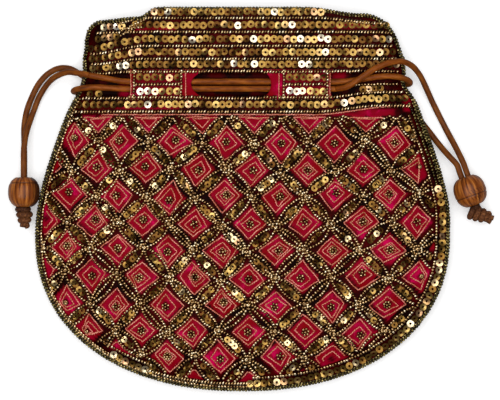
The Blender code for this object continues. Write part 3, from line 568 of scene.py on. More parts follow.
def half_width(y, x):
    """The bag's reach at a height, on the side of x: an S-curve from the belly to the mouth, pinched
    at the neck. The right flank is 1.2 mm fuller, and the left one widens by 2 mm above the neck."""
    plain = HALF_WIDTH - 0.030 * smoothstep((y - WIDEST) / 0.124)
    neck = y - CHANNEL_MIDDLE
    left = 0.0021 * smoothstep((y - 0.073) / 0.014) - 0.0029 * np.exp(-((neck / 0.011) ** 2))
    fuller = smoothstep((y - WIDEST) / 0.020) * smoothstep((0.088 - y) / 0.014)
    right = 0.0012 * fuller - 0.0034 * np.exp(-((neck / 0.0065) ** 2))
    return plain + np.where(np.asarray(x) < 0, left, right)


def mouth_height(x):
    """The mouth's edge, which steps down 5.4 mm near its left end and sags towards both corners."""
    step = 0.0054 * smoothstep((-x - 0.047) / 0.010) + 0.0020 * smoothstep((-x - 0.057) / 0.025)
    return 0.106 - 0.0035 * smoothstep((x - 0.035) / 0.030) - step


def corner_radius(x):
    """The mouth's corners: the left one is tighter than the right one."""
    return np.where(np.asarray(x) < 0, 0.0100, 0.0220)


def fullness(x, y, margin=0.0):
    """0 in the middle of the cloth and 1 at its rim, or at a line a margin inside the rim."""
    across = np.abs(x) / (half_width(np.maximum(y, WIDEST), x) - RIM_INSET - margin)
    down = np.maximum(WIDEST - y, 0.0) / (LOWER_DEPTH - RIM_INSET - margin)
    return (across**OUTLINE_POWER + down**OUTLINE_POWER) ** (1 / OUTLINE_POWER)


def plain_rise(face, x, y):
    """How far the cloth lies from the seam's level: 1 - fullness ** power, to the power 0.75."""
    shape = FACES[face]
    belly = smoothstep((CHANNEL_MIDDLE - 0.0069 - y) / 0.027)
    power = 8 + (shape["power"] - 8) * belly
    top = NECK_RISE + (shape["rise"] - NECK_RISE) * belly
    edge = np.minimum(fullness(x, y), 1.0)
    swell = np.minimum((1 + (shape["fill"] - 1) * belly) * (1 - edge**power) ** 0.75, 1.0)
    return RIM_RISE + (top - RIM_RISE) * swell


def cloth_rise(face, x, y):
    """The cloth with the channel drawn into it: a flat floor between two walls 1 mm wide."""
    beyond = np.maximum(np.abs(y - CHANNEL_MIDDLE) - 0.0059, 0.0)
    return np.minimum(plain_rise(face, x, y), CHANNEL_RISE + beyond * (NECK_RISE - CHANNEL_RISE) / 0.0010)


def drift(column, row):
    """How far the lattice has drifted: its outer columns are closer together, most so at the top left."""
    left = np.asarray(column) < 0
    spread = (np.asarray(column) / 7.0) ** 2
    grow = np.where(left, 0.0069 - 0.0004 * row, 0.0038)
    away_x = 0.0014 - 0.00055 * np.minimum(row, 5) + grow * spread
    return away_x, np.where(left, 0.0020, 0.0008) * spread - 0.0005


def lattice_point(face, column, row):
    """A point of the lattice, drifted and moved a little off its place, as hand-drawn work is."""
    wobble = HAND_WOBBLE[face][:, (column + 20) % 40, (row + 5) % 40]
    away = drift(column, row)
    x = FACES[face]["shift"] + LATTICE_X * column + wobble[0] + away[0]
    return x, LATTICE_TOP - LATTICE_Y * row + (wobble[1] + away[1]) * (row != 0)


def diamond_share(face, x, y):
    """How far a place is from the middle of its diamond: 0 in the middle, 1 at the crossings."""
    row = np.round((LATTICE_TOP - y) / LATTICE_Y).astype(int)
    column = (x - FACES[face]["shift"]) / LATTICE_X
    column = np.round(column - drift(column, row)[0] / LATTICE_X).astype(int)
    best = np.full(np.shape(x), 9.0)
    for near_row in (row - 1, row, row + 1):
        for near_column in (column - 1, column, column + 1):
            middle_x, middle_y = lattice_point(face, near_column, near_row)
            reach = np.abs(x - middle_x) / LATTICE_X + np.abs(y - middle_y) / LATTICE_Y
            best = np.where((near_row + near_column) % 2 == 0, np.minimum(best, reach), best)
    return best


def cushion(face, x, y):
    """The soft swell inside each diamond: 0.7 mm in its middle, none at the rows of beads."""
    near = smoothstep((0.75 - diamond_share(face, x, y)) / 0.55)
    return 0.0007 * near * (y < LATTICE_TOP) * (fullness(x, y, 0.004) < 1)


def border_margin(x):
    """How far the lattice stays from the cloth's rim: 1.2 mm at the left, 3 mm at the bottom's
    middle and 6.4 mm elsewhere."""
    narrow = smoothstep((x + 0.056) / 0.010) * smoothstep((0.012 - x) / 0.010)
    return 0.0012 + 0.0052 * smoothstep((x + 0.088) / 0.030) - 0.0034 * narrow


def dark_thread_and_painted_shade(face, x, y):
    """How much painted shade and dark stitching darken the satin: 1 under the dense beadwork, beyond the
    border and above the lattice, 0.9 under each diamond's middle cluster of beads, 0 on the open
    diamonds and 0.1 on the strips of OPEN_SATIN, which are boxes with soft edges."""
    share = diamond_share(face, x, y)
    shade = np.maximum(smoothstep((share - 0.60) / 0.05), 0.9 * smoothstep((0.17 - share) / 0.05))
    outside = smoothstep((fullness(x, y, border_margin(x)) - 1.0) / 0.008)
    shade = np.where(y > LATTICE_TOP - 0.0004, 1.0, np.maximum(shade, outside))
    for left, right, low, high in OPEN_SATIN:
        depth = np.minimum(np.minimum(x - left, right - x) / 0.0030, np.minimum(y - low, high - y) / 0.0012)
        shade = shade + (0.1 - shade) * smoothstep(depth + 0.5)
    return shade


def on_face(face, x, y, lift, puffed=False):
    """Points a lift above the cloth along its normal, and that normal."""
    side = FACES[face]["side"]
    step = 0.0004
    rise = cloth_rise(face, x, y) + (cushion(face, x, y) if puffed else 0.0)
    slope_x = (plain_rise(face, x + step, y) - plain_rise(face, x - step, y)) / (2 * step)
    slope_y = (plain_rise(face, x, y + step) - plain_rise(face, x, y - step)) / (2 * step)
    slopes = np.clip([-slope_x, -slope_y], -3, 3)
    normal = unit(np.column_stack([*slopes, np.full(len(x), float(side))]))
    base = np.column_stack([x, y, SEAM_HEIGHT + side * rise])
    return base + normal * np.reshape(lift, (-1, 1)), normal


def satin_weave_group():
    """A node group for satin: fine lengthwise threads, soft creases and colour that varies with both."""
    group = bpy.data.node_groups.new("satin_weave", "ShaderNodeTree")
    for name, way, kind in (
        ("Vector", "INPUT", "NodeSocketVector"), ("Crease Scale", "INPUT", "NodeSocketFloat"),
        ("Shade", "OUTPUT", "NodeSocketFloat"), ("Height", "OUTPUT", "NodeSocketFloat"),
    ):
        group.interface.new_socket(name, in_out=way, socket_type=kind)
    given = add_node(group, "NodeGroupInput").outputs
    flatten = add_node(group, "ShaderNodeMapping", {"Vector": given["Vector"], "Scale": (5200.0, 700.0, 400.0)})
    weave = {
        "Factor": 0.72, "A": noise(group, flatten.outputs["Vector"], 1.0),
        "B": noise(group, given["Vector"], given["Crease Scale"], 4.0, 0.8),
    }
    blend = add_node(group, "ShaderNodeMix", weave, data_type="FLOAT").outputs["Result"]
    add_node(group, "NodeGroupOutput", {"Shade": blend, "Height": blend})
    return group


SATIN_WEAVE = satin_weave_group()


def satin_finish(name, deep, bright, crease_scale):
    """Satin in soft patches from a deep colour to a bright painted sheen, and nearly black under the beads with
    painted shade and dark thread.
    """
    finish, tree, shader = new_finish(name, 0.46)
    inputs = {"Vector": own_place(tree), "Crease Scale": crease_scale}
    weave = add_node(tree, "ShaderNodeGroup", node_tree=SATIN_WEAVE)
    set_inputs(tree, weave, inputs)
    shade = weave.outputs["Shade"]
    middle = tuple(low * 0.8 + high * 0.2 for low, high in zip(deep, bright))
    # The bright end of this ramp, in soft patches, is a painted sheen on the satin.
    tone_and_painted_sheen = ramp(tree, shade, [(0.36, deep), (0.56, middle), (0.64, bright)])
    # Painted shade with dark thread: nearly black to dark maroon, for the satin under the beadwork.
    thread_and_shade_colour = ramp(tree, shade, [(0.44, (0.005, 0.0003, 0.0002)), (0.60, (0.060, 0.0003, 0.0006))])
    set_inputs(tree, shader, {
        "Base Color": mixed(tree, own_tint(tree), tone_and_painted_sheen, thread_and_shade_colour),
        "Specular IOR Level": 0.02, "Normal": bump(tree, weave.outputs["Height"], 0.5, 0.0006),
    })
    return finish


crimson_satin = satin_finish("crimson_satin_cloth", (0.22, 0.0002, 0.0012), (0.58, 0.0008, 0.075), 95.0)


def cloth_grid(columns, lower_rows, neck_rows, upper_rows, inset=0.0):
    """The bag's outline filled by a grid, as x and y for each row and column.

    Below the widest line, a row's height and half width follow the lower curve. Above it, a row's
    half width follows the flank. Above the channel, a column runs up to the mouth's edge.
    """
    share = np.linspace(-1, 1, columns)[None, :]
    angle = np.linspace(0.05, np.pi / 2, lower_rows)[:, None]
    reach = HALF_WIDTH - RIM_INSET - inset
    depth = LOWER_DEPTH - RIM_INSET - inset
    lower_x = reach * np.sin(angle) ** (2 / OUTLINE_POWER) * share
    lower_y = np.broadcast_to(WIDEST - depth * np.cos(angle) ** (2 / OUTLINE_POWER), lower_x.shape)
    walls = CHANNEL_MIDDLE + np.array([-0.0069, -0.0059, 0.0059, 0.0069])
    neck = np.concatenate([
        np.linspace(WIDEST, walls[0], neck_rows)[1:],
        np.linspace(walls[0], walls[1], 3)[1:],
        np.linspace(walls[1], walls[2], 11)[1:],
        np.linspace(walls[2], walls[3], 3)[1:],
    ])[:, None]
    neck_x = (half_width(neck, share) - RIM_INSET - inset) * share
    neck_y = np.broadcast_to(neck, neck_x.shape)
    start = walls[3]
    corner = corner_radius(share)
    mouth_end = mouth_height(np.where(share < 0, -0.085, 0.085)) - max(inset, 0)
    corner_y = mouth_end - corner
    edge_x = (half_width(corner_y, share) - RIM_INSET * 0.6 - inset) * share
    corner_x = half_width(corner_y, share) - corner
    past = np.maximum(np.abs(edge_x) - corner_x, 0) / (corner - RIM_INSET * 0.6 - inset)
    top = mouth_height(edge_x) - max(inset, 0) - corner * (1 - np.sqrt(np.maximum(1 - past**2, 0)))
    part = np.linspace(0, 1, upper_rows)[1:, None]
    upper_x = (half_width(start, share) - RIM_INSET - inset) * share * (1 - part) + edge_x * part
    upper_y = start + (top - start) * part
    return np.vstack([lower_x, neck_x, upper_x]), np.vstack([lower_y, neck_y, upper_y])


def closed_sheet(name, face, x, y, outer_level, inner_level, finish, shade=None):
    """A cloth of two grids with one outline, at an outer and an inner level, sewn shut along the rim."""
    side = FACES[face]["side"]
    rows, columns = x.shape
    outer = grid_faces(rows, columns)
    numbers = np.arange(x.size).reshape(rows, columns)
    rim = np.concatenate([numbers[0, :-1], numbers[:-1, -1], numbers[-1, :0:-1], numbers[:0:-1, 0]])
    after = np.roll(rim, -1)
    wall = np.stack([rim, rim + x.size, after + x.size, after], axis=-1)
    faces = np.vstack([outer, outer[:, ::-1] + x.size, wall])
    faces = faces if side > 0 else faces[:, ::-1]
    levels = [np.stack([x, y, SEAM_HEIGHT + side * level], axis=-1) for level in (outer_level, inner_level)]
    tint = None if shade is None else np.tile(shade.ravel(), 2)
    piece = new_piece(name, np.reshape(levels, (-1, 3)), [faces], finish, "bag", tint=tint)
    return piece


for face in FACES:
    x, y = cloth_grid(*((192, 74, 64, 30) if face == "front" else (112, 42, 38, 16)), inset=-0.0008)
    level = cloth_rise(face, x, y)
    cloth = closed_sheet(
        f"{face}_satin", face, x, y, level + cushion(face, x, y), level - 0.0006,
        crimson_satin, dark_thread_and_painted_shade(face, x, y),
    )
    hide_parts(f"{face}_panel")


# The linings: the same satin, coloured darker as a painted shade for the inside of the bag, cut smaller
# and hung inside each face from just below the mouth.
lining_satin = satin_finish("lining_satin_cloth", (0.10, 0.0008, 0.004), (0.34, 0.004, 0.04), 90.0)
for face in FACES:
    x, y = cloth_grid(72, 30, 28, 12, inset=0.0023)
    gap = np.clip((np.abs(y - CHANNEL_MIDDLE) - 0.0071) / 0.003, 0, 1)
    floor = CHANNEL_RISE + gap * (NECK_RISE - CHANNEL_RISE)
    level = np.minimum(plain_rise(face, x, y), floor) - 0.0015
    folds = 0.00012 * np.sin(x * 260 + 3 * np.sin(y * 90))
    lining = closed_sheet(
        f"{face}_satin_lining", face, x, y, level + folds, level + folds - 0.0005,
        lining_satin,
    )
    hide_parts(f"{face}_lining")


# Seed beads and sequins: glass beads of about 1.8 mm with a metallic lining, and flat 4 mm sequins
# with a punched hole. Every one has its own tint, because such beads are sold mixed; the palest sequin tints are a
# painted glint.
BEAD = (0.00158, 0.00196, 0.00196)
BEAD_PITCH = 0.00166
SEQUIN_ACROSS, SEQUIN_PITCH = 0.0041, 0.00374


def round_bead(sides, rings):
    """A seed bead along +X, 1 long and 1 across: radius = (1 - |x| ** 2.6) ** (1 / 2.6), closed by poles."""
    share = np.linspace(-0.74, 0.74, rings)
    radius = (1 - np.abs(share) ** 2.6) ** (1 / 2.6) / 2
    turn = np.linspace(0, 2 * np.pi, sides, endpoint=False)
    ring = np.stack([
        np.broadcast_to(share[:, None] / 2, (rings, sides)),
        radius[:, None] * np.cos(turn), radius[:, None] * np.sin(turn),
    ], axis=-1).reshape(-1, 3)
    points = np.vstack([ring, [-0.42, 0, 0], [0.42, 0, 0]])
    return points, grid_faces(rings, sides, around=True), np.vstack(end_caps(rings, sides))


def flat_sequin(sides):
    """A sequin facing +Z, 1 across: a flat ring round its hole, with a rim that rises a little."""
    radius = np.array([0.17, 0.34, 0.50, 0.50, 0.17])
    height = np.array([-0.030, 0.002, 0.030, 0.005, -0.055])
    turn = np.linspace(0, 2 * np.pi, sides, endpoint=False)
    ring = np.stack([
        radius[:, None] * np.cos(turn), radius[:, None] * np.sin(turn),
        np.broadcast_to(height[:, None], (5, sides)),
    ], axis=-1)
    return ring.reshape(-1, 3), grid_faces(5, sides, around=True, closed=True)[:, ::-1]


def copies(shape, centres, along, up, sizes):
    """One small shape at many places: its X on each along, its Z on each up, and its own size."""
    side_way = unit(np.cross(up, along))
    turned = np.stack([along, side_way, np.cross(along, side_way)], axis=1)
    points = centres[:, None, :] + np.einsum("nvi,nij->nvj", shape[None] * sizes[:, None, :], turned)
    return points.reshape(-1, 3)


def many_faces(faces, count, corners):
    """One shape's faces again for each of its copies."""
    return (faces[None] + (np.arange(count) * corners)[:, None, None]).reshape(-1, faces.shape[1])


class Sewn:
    """Places of beads or sequins on one face, gathered row by row, each with its tint from 0 to 1."""

    def __init__(self):
        self.centres, self.alongs, self.ups, self.sizes, self.tints = [], [], [], [], []

    def add(self, centres, alongs, ups, sizes, tints=None):
        self.centres.append(centres)
        self.alongs.append(unit(alongs))
        self.ups.append(ups)
        self.sizes.append(np.broadcast_to(sizes, centres.shape))
        self.tints.append(rng.random(len(centres)) if tints is None else tints)

    def arrays(self):
        return [np.vstack(group) for group in (self.centres, self.alongs, self.ups, self.sizes)]


def sewn_piece(name, sewn, finish, shape, face_groups, smooth):
    """All gathered copies of one small shape as one mesh."""
    points = copies(shape, *sewn.arrays())
    tint = np.repeat(np.concatenate(sewn.tints), len(shape))
    count = len(points) // len(shape)
    groups = [many_faces(group, count, len(shape)) for group in face_groups]
    piece = new_piece(name, points, groups, finish, "bag", smooth=smooth, tint=tint)


def bead_piece(name, sewn, finish):
    """All gathered beads as one mesh. The beads of the back have fewer faces."""
    shape, *groups = round_bead(5, 2) if name.startswith("back") else round_bead(6, 3)
    sewn_piece(name, sewn, finish, shape, groups, True)


def sequin_piece(name, sewn):
    """All gathered sequins as one mesh. The sequins of the back have fewer faces."""
    shape, faces = flat_sequin(8 if name.startswith("back") else 12)
    sewn_piece(name, sewn, gold_sequins, shape, [faces], False)


def tinted_metal(name, stops, roughness, clear_coat):
    """A metallic finish whose colour runs through the given stops with each bead's own tint."""
    finish, tree, shader = new_finish(name, roughness, 1.0)
    tarnish = noise(tree, own_place(tree), 900.0, 3.0)
    spots, rough = (
        add_node(tree, "ShaderNodeMapRange", {"Value": tarnish, **limits}).outputs["Result"] for limits in (
            {"From Min": 0.45, "From Max": 0.75}, {"To Min": roughness * 0.7, "To Max": roughness * 1.5},
        )
    )
    tone_and_painted_sheen = ramp(tree, own_tint(tree), stops)
    set_inputs(tree, shader, {
        "Base Color": mixed(tree, spots, tone_and_painted_sheen, (0.50, 0.38, 0.26, 1), "MULTIPLY"),
        "Roughness": rough, "Coat Weight": clear_coat, "Coat Roughness": 0.1,
    })
    return finish


bronze_beads = tinted_metal("bronze_seed_beads", [
    (0.0, (0.16, 0.075, 0.026)), (0.3, (0.42, 0.25, 0.095)), (0.65, (0.80, 0.57, 0.29)), (1.0, (1.0, 0.89, 0.64)),
], 0.15, 0.3)
green_gold_beads = tinted_metal("green_gold_edge_beads", [
    (0.0, (0.030, 0.022, 0.008)), (0.4, (0.12, 0.095, 0.028)), (0.8, (0.34, 0.27, 0.09)), (1.0, (0.62, 0.50, 0.22)),
], 0.24, 0.2)
# The sequins' palest tints, from 0.93 up, are a painted glint in near-white gold.
gold_sequins = tinted_metal("olive_gold_sequins", [
    (0.0, (0.095, 0.040, 0.010)), (0.25, (0.20, 0.105, 0.024)), (0.5, (0.34, 0.205, 0.052)),
    (0.68, (0.60, 0.41, 0.14)), (0.80, (0.60, 0.34, 0.18)), (0.93, (0.88, 0.70, 0.39)), (1.0, (0.92, 0.86, 0.74)),
], 0.30, 0.0)


def direction(angle):
    """Unit directions in the plane of the bag at the given angles."""
    return np.column_stack([np.cos(angle), np.sin(angle), np.zeros(len(angle))])


def sew_beads(
    sewn, face, line, turned=0.0, offsets=(0.0,), pitch=BEAD_PITCH, size=BEAD, keep=None, surface=on_face,
):
    """Beads at even steps along a line in the plane, each turned from the line by an angle.

    A stitch of more than one bead has them at the given offsets along its own direction.
    """
    place = evenly_spaced(np.asarray(line, dtype=float), pitch)
    step = np.gradient(place, axis=0)
    angle = np.arctan2(step[:, 1], step[:, 0]) + turned + rng.normal(0, 0.13, len(place))
    for offset in offsets:
        spot = place + offset * direction(angle)[:, :2] + rng.normal(0, 0.00009, place.shape)
        inside = np.full(len(spot), True) if keep is None else keep(spot[:, 0], spot[:, 1])
        if inside.any():
            spot, heading = spot[inside], angle[inside]
            centres, normals = surface(face, spot[:, 0], spot[:, 1], 0.0008 + rng.normal(0, 0.00009, len(spot)))
            sewn.add(centres, direction(heading), normals, size)


def sew_sequins(
    sewn, face, line, pitch=SEQUIN_PITCH, across=SEQUIN_ACROSS, keep=None, surface=on_face,
    tints=None, tilt=0.13,
):
    """Sequins along a line in the plane, each a little over the one before it and tilted its own way."""
    place = evenly_spaced(np.asarray(line, dtype=float), pitch)
    place = place + rng.normal(0, 0.00018, place.shape)
    # About 8 % of the sequins get a near-white tint, a painted glint.
    mixed = np.where(rng.random(len(place)) < 0.08, 0.97, rng.beta(1.25, 2.0, len(place)) * 0.9)
    tints = mixed if tints is None else np.resize(tints, len(place))
    inside = np.full(len(place), True) if keep is None else keep(place[:, 0], place[:, 1])
    place, tints = place[inside], tints[inside]
    if not len(place):
        return
    centres, normals = surface(face, place[:, 0], place[:, 1], 0.00062)
    lean = -0.10 * (place[-1] - place[0]) / (np.linalg.norm(place[-1] - place[0]) + 1e-6)
    normals = normals + np.column_stack([rng.normal(0, tilt, (len(place), 2)) + lean, np.zeros(len(place))])
    normals = unit(normals)
    alongs = direction(rng.random(len(place)) * 6.28)
    alongs -= np.sum(alongs * normals, axis=1)[:, None] * normals
    sewn.add(centres, alongs, normals, across, tints)


HATCH = {"turned": 1.15, "pitch": 0.00162, "size": (0.00270, 0.00140, 0.00155)}


def on_border(face, x, y, lift):
    """Points above the falling rim for sequins that lie flatter than the rim does."""
    centres, normals = on_face(face, x, y, lift)
    upright = np.array([0.0, 0.0, 1.2 * FACES[face]["side"]])
    return centres + upright * 0.0005, unit(normals + upright)


def rim_line(inset):
    """The cloth's outline moved in, from the bottom up the right flank, along the mouth and back."""
    grid = cloth_grid(121, 80, 60, 40, inset=inset)
    middle = grid[0].shape[1] // 2
    return np.column_stack([
        np.concatenate([a[0, middle:], a[1:, -1], a[-1, -2::-1], a[-2::-1, 0], a[0, 1:middle]]) for a in grid
    ])


def rim_stretch(line, part, below, above=-1.0, left=-1.0, right=1.0):
    """A rim line's points on one side, or round the bottom, within the given limits."""
    half = len(line) // 2
    line = {"right": line[:half], "left": line[half:], "round": np.vstack([line[half:], line[:half]])}[part]
    x, y = line.T
    return line[(y < below) & (y > above) & (x > left) & (x < right)]


# The collar: five full rows of sequins and part of a sixth, with rows of slanted bead stitches
# between them. The rows above the channel bend down at the left, where the mouth sags.
def row_bend(x, y):
    """How far a row lies from its own height: down to 4.9 mm lower at the left end, above the channel."""
    down = np.where((y > 0.068) & (y < 0.091), 0.0022 + 0.19 * (y - 0.075), 0.0)
    right = np.where(y > 0.098, -0.0028, np.where(y < 0.060, 0.0034, 0.0))
    return right * smoothstep((x - 0.040) / 0.036) - down * smoothstep((-x - 0.054) / 0.028)


def collar_row(y, start=-1.0):
    """A row across the neck as a line, from the start, inside the edging and under the mouth."""
    x = np.linspace(-0.1, 0.1, 801)
    place_y = y + row_bend(x, np.full_like(x, y))
    corner = corner_radius(x)
    corner_x = half_width(np.where(x < 0, 0.086, 0.0805), x) - corner
    past = np.clip((np.abs(x) - corner_x) / corner, 0, 1)
    top = mouth_height(x) - corner * (1 - np.sqrt(1 - past**2))
    inside = (place_y < top - 0.0014) & (np.abs(x) < half_width(place_y, x) - 0.0050) & (x > start)
    return np.column_stack([x, place_y])[inside]


for face in FACES:
    rows, sequins = Sewn(), Sewn()
    for y, start in ((0.1006, -0.0575), (0.0929, -0.0650)):
        sew_beads(rows, face, collar_row(y, start), **HATCH)
    sew_beads(rows, face, [(-0.0645, 0.0945), (-0.0560, 0.0955)])
    for y in (0.0852, 0.0780, 0.0713, 0.0562, 0.0487):
        sew_beads(rows, face, collar_row(y), **HATCH)
    sew_sequins(sequins, face, collar_row(0.0968, -0.0590))
    for y in (0.0890, 0.0818, 0.0751, 0.0527):
        sew_sequins(sequins, face, collar_row(y))
    sew_sequins(sequins, face, collar_row(0.1040, -0.0505))
    for line, tints in (
        ([(-0.0765, 0.0958), (-0.0665, 0.0962)], [0.95, 0.78, 1.0, 0.7]),
        ([(-0.0800, 0.0893), (-0.0700, 0.0905)], [0.30, 0.74, 0.78]),
        ([(-0.0845, 0.0588), (-0.0795, 0.0588)], [0.3, 0.4]),
        ([(0.0665, 0.0614), (0.0760, 0.0616)], [0.2, 0.85, 0.15]),
    ):
        sew_sequins(sequins, face, line, tints=tints)
    sew_beads(rows, face, [(0.0610, 0.0638), (0.0850, 0.0642)])
    sew_beads(rows, face, [(-0.0800, 0.0925), (-0.0680, 0.0925)], **HATCH)
    for line in (
        [(-0.0668, 0.0938), (-0.0545, 0.0994)], [(-0.0672, 0.0908), (-0.0585, 0.0962)],
        [(-0.0690, 0.0975), (-0.0600, 0.0995)],
    ):
        sew_beads(rows, face, line)
    bead_piece(f"{face}_collar_beads", rows, bronze_beads)
    sequin_piece(f"{face}_collar_sequins", sequins)


# The border: a string of beads, with sequins outside it along the bottom right and up the right
# flank to y = 7 mm and dull stitches above them. At the bottom, left of the middle, there are only
# bead stitches, and on the left the edging alone, with the lattice running up to it.


def inside_border(x, y):
    """Whether a place of the lattice lies inside the border and below the collar."""
    return (fullness(x, y, border_margin(x)) < 1) & (y < LATTICE_TOP - 0.0007)


for face in FACES:
    rows, sequins, dull = Sewn(), Sewn(), Sewn()
    string, sequin_line, hatch_line = rim_line(0.0051), rim_line(0.0017), rim_line(0.0010)
    sew_beads(rows, face, rim_stretch(string, "right", 0.0475, left=0.006), turned=0.5)
    sew_beads(rows, face, rim_stretch(string, "left", -0.055, left=-0.078, right=-0.050))
    tints = 0.22 + 0.74 * rng.random(60) ** 1.3
    right = rim_stretch(sequin_line, "right", 0.0070, left=0.004)
    sew_sequins(sequins, face, right, surface=on_border, tints=tints, tilt=0.20)
    left = rim_stretch(sequin_line, "left", -0.060, left=-0.072, right=-0.050)
    sew_sequins(sequins, face, left, surface=on_border, tints=[0.95, 0.5, 0.8, 0.3, 0.7])
    for line in (
        rim_stretch(hatch_line, "left", 0.0560, right=-0.066),
        rim_stretch(rim_line(-0.0002), "round", -0.050, right=0.008),
    ):
        sew_beads(rows, face, line, turned=0.9, pitch=0.0017)
    middle = rim_stretch(hatch_line, "round", -0.050, left=-0.054, right=0.008)
    sew_beads(rows, face, middle + [0, 0.0008], **HATCH)
    flank = rim_stretch(hatch_line, "right", 0.0540, above=0.0085)
    sew_beads(dull, face, flank, turned=1.25, offsets=(-0.0008, 0.0012))
    bead_piece(f"{face}_flank_beads", dull, green_gold_beads)
    bead_piece(f"{face}_border_beads", rows, bronze_beads)
    sequin_piece(f"{face}_border_sequins", sequins)


# The lattice: leaves of beads and sequins along every side of every diamond. A leaf is two bowed
# strings of beads, with a few sequins or a third string between them, from one crossing to the next.
def bowed_line(start, end, bow):
    """A line from start to end that swings out to one side by bow * sin(pi * share) ** 0.8."""
    share = np.linspace(0.02, 0.98, 40)
    way = np.array(end) - np.array(start)
    out = np.array([-way[1], way[0]]) / np.hypot(*way)
    return np.array(start) + share[:, None] * way + (bow * np.sin(np.pi * share) ** 0.8)[:, None] * out


def sew_leaf(strings, sequins, face, start, end):
    """One leaf: two strings bowed apart, and two to five sequins lapped between them or a string.

    The beads of the leaves that run down to the right stand nearly across their strings.
    """
    width = 0.0030 + rng.normal(0, 0.00028)
    across = {"turned": 1.1, "pitch": 0.00160, "size": (0.00225, 0.00140, 0.00160)}
    stitch = across if end[0] > start[0] else {"turned": 0.25}
    for bow in (width, -width):
        sew_beads(strings, face, bowed_line(start, end, bow), keep=inside_border, **stitch)
    count = rng.choice([0, 2, 3, 3, 4, 4, 5])
    middle = bowed_line(start, end, rng.normal(0, 0.0003))
    if count == 0:
        sew_beads(strings, face, middle[6:-6], keep=inside_border)
        return
    first = 20 - count * 2
    # About 10 % of the leaf sequins get a near-white tint, a painted glint.
    tints = np.where(rng.random(9) < 0.10, 0.93, rng.beta(1.3, 2.2, 9) * 0.85)
    lapped = middle[first:first + 4 * count]
    sew_sequins(sequins, face, lapped, 0.0026, 0.0036, inside_border, tints=tints, tilt=0.24)
    if count < 4:
        for stretch in (middle[4:first - 2], middle[first + 4 * count + 1:-4]):
            sew_beads(strings, face, stretch, keep=inside_border)


for face in FACES:
    strings, sequins = Sewn(), Sewn()
    for row in range(-1, 12):
        for column in range(-10, 11):
            if (row + column) % 2 == 0:
                continue
            start = lattice_point(face, column, row)
            for turn in (-1, 1):
                end = lattice_point(face, column + turn, row + 1)
                if fullness(*np.array(start), 0.0012) < 1 or fullness(*np.array(end), 0.0012) < 1:
                    sew_leaf(strings, sequins, face, start, end)
    bead_piece(f"{face}_lattice_beads", strings, bronze_beads)
    sequin_piece(f"{face}_lattice_sequins", sequins)


# The cushions' trimmings: two wavering outlines of salmon thread round every satin diamond, and a
# cluster of dull gold beads in its middle.
salmon_thread, tree, shader = new_finish("salmon_thread", 0.5)
plies = {"Vector": own_uv(tree), "Scale": 420.0, "Distortion": 1.5}
plies = add_node(tree, "ShaderNodeTexWave", plies, bands_direction="DIAGONAL").outputs["Fac"]
thread_tone_and_painted_light = {"Factor": 0.65, "A": plies, "B": noise(tree, own_place(tree), 260.0)}
thread_tone_and_painted_light = add_node(tree, "ShaderNodeMix", thread_tone_and_painted_light, data_type="FLOAT").outputs["Result"]
# The ramp runs from a brown painted shade through salmon to a pale pink painted highlight, along the plies and in
# soft patches.
set_inputs(tree, shader, {
    "Base Color": ramp(tree, thread_tone_and_painted_light, [
        (0.28, (0.26, 0.085, 0.014)), (0.42, (0.52, 0.13, 0.055)), (0.56, (0.82, 0.21, 0.15)),
        (0.74, (1.0, 0.46, 0.37)),
    ]),
    "Specular IOR Level": 0.25, "Normal": bump(tree, plies, 0.6, 0.0001),
})


class Threads:
    """Thin rods of thread, gathered into one mesh."""

    def __init__(self):
        self.points, self.quads, self.tris, self.uv, self.count = [], [], [], [], 0

    def add(self, line, radius, closed):
        """Adds one thread along a line, with five sides."""
        reference = np.broadcast_to([0.05, 0.02, 1.0], line.shape)
        points, groups = rod(line, radius, 5, reference, closed)
        run = run_along(line)
        uv = np.column_stack([np.repeat(run, 5), np.tile(np.arange(5) * 0.0004, len(line))])
        if not closed:
            uv = np.vstack([uv, [0, 0], [run[-1], 0]])
            self.tris += [group + self.count for group in groups[1:]]
        self.points.append(points)
        self.quads.append(groups[0] + self.count)
        self.uv.append(uv)
        self.count += len(points)

    def make(self, name, finish, slot):
        """The gathered threads as one piece."""
        groups = [np.vstack(self.quads)] + ([np.vstack(self.tris)] if self.tris else [])
        piece = new_piece(name, np.vstack(self.points), groups, finish, "bag", uv=np.vstack(self.uv))
        return piece


def couched(face, corners, wobble, closed=True, surface=None):
    """A line of thread through the corners, wavering a little, laid on the cushion."""
    stops = np.vstack([corners, corners[:1]]) if closed else np.asarray(corners, dtype=float)
    steps = (9 if face == "front" else 5) * (len(stops) - 1)
    share = np.linspace(0, len(stops) - 1, steps + (0 if closed else 1), endpoint=not closed)
    line = read_along(share, np.arange(len(stops)), stops)
    swing = rng.normal(0, wobble, line.shape)
    line = line + (swing + np.roll(swing, 1, 0) + np.roll(swing, 2, 0)) / 2
    if surface is not None:
        return surface(face, line[:, 0], line[:, 1], 0.00025)[0]
    return on_face(face, line[:, 0], line[:, 1], 0.00025, puffed=True)[0]


def cut_outline(middle, spokes, share):
    """The part of a diamond's outline at a share of its spokes that lies inside the border."""
    corners = middle + np.vstack([spokes, spokes[:1]]) * share
    way = read_along(np.linspace(0, len(spokes), 61), np.arange(len(corners)), corners)
    kept = fullness(way[:, 0], way[:, 1], border_margin(way[:, 0]) + 0.0009) < 1
    if kept.sum() <= 7:
        return way[:0]
    first = np.flatnonzero(kept & ~np.roll(kept, 1))[0]
    way, kept = np.roll(way[:-1], -first, axis=0), np.roll(kept[:-1], -first)
    return way[:len(kept) if kept.all() else int(np.argmin(kept))]


def shortened(middle, spokes, most):
    """Each spoke of a diamond as far as it may go: to the given share, or to the border."""
    shares = np.linspace(0.05, most, 24)
    tips = middle + spokes[:, None] * shares[None, :, None]
    room = fullness(tips[..., 0], tips[..., 1], border_margin(tips[..., 0]) + 0.0009) < 1
    return np.where(room, shares, 0.05).max(axis=1)


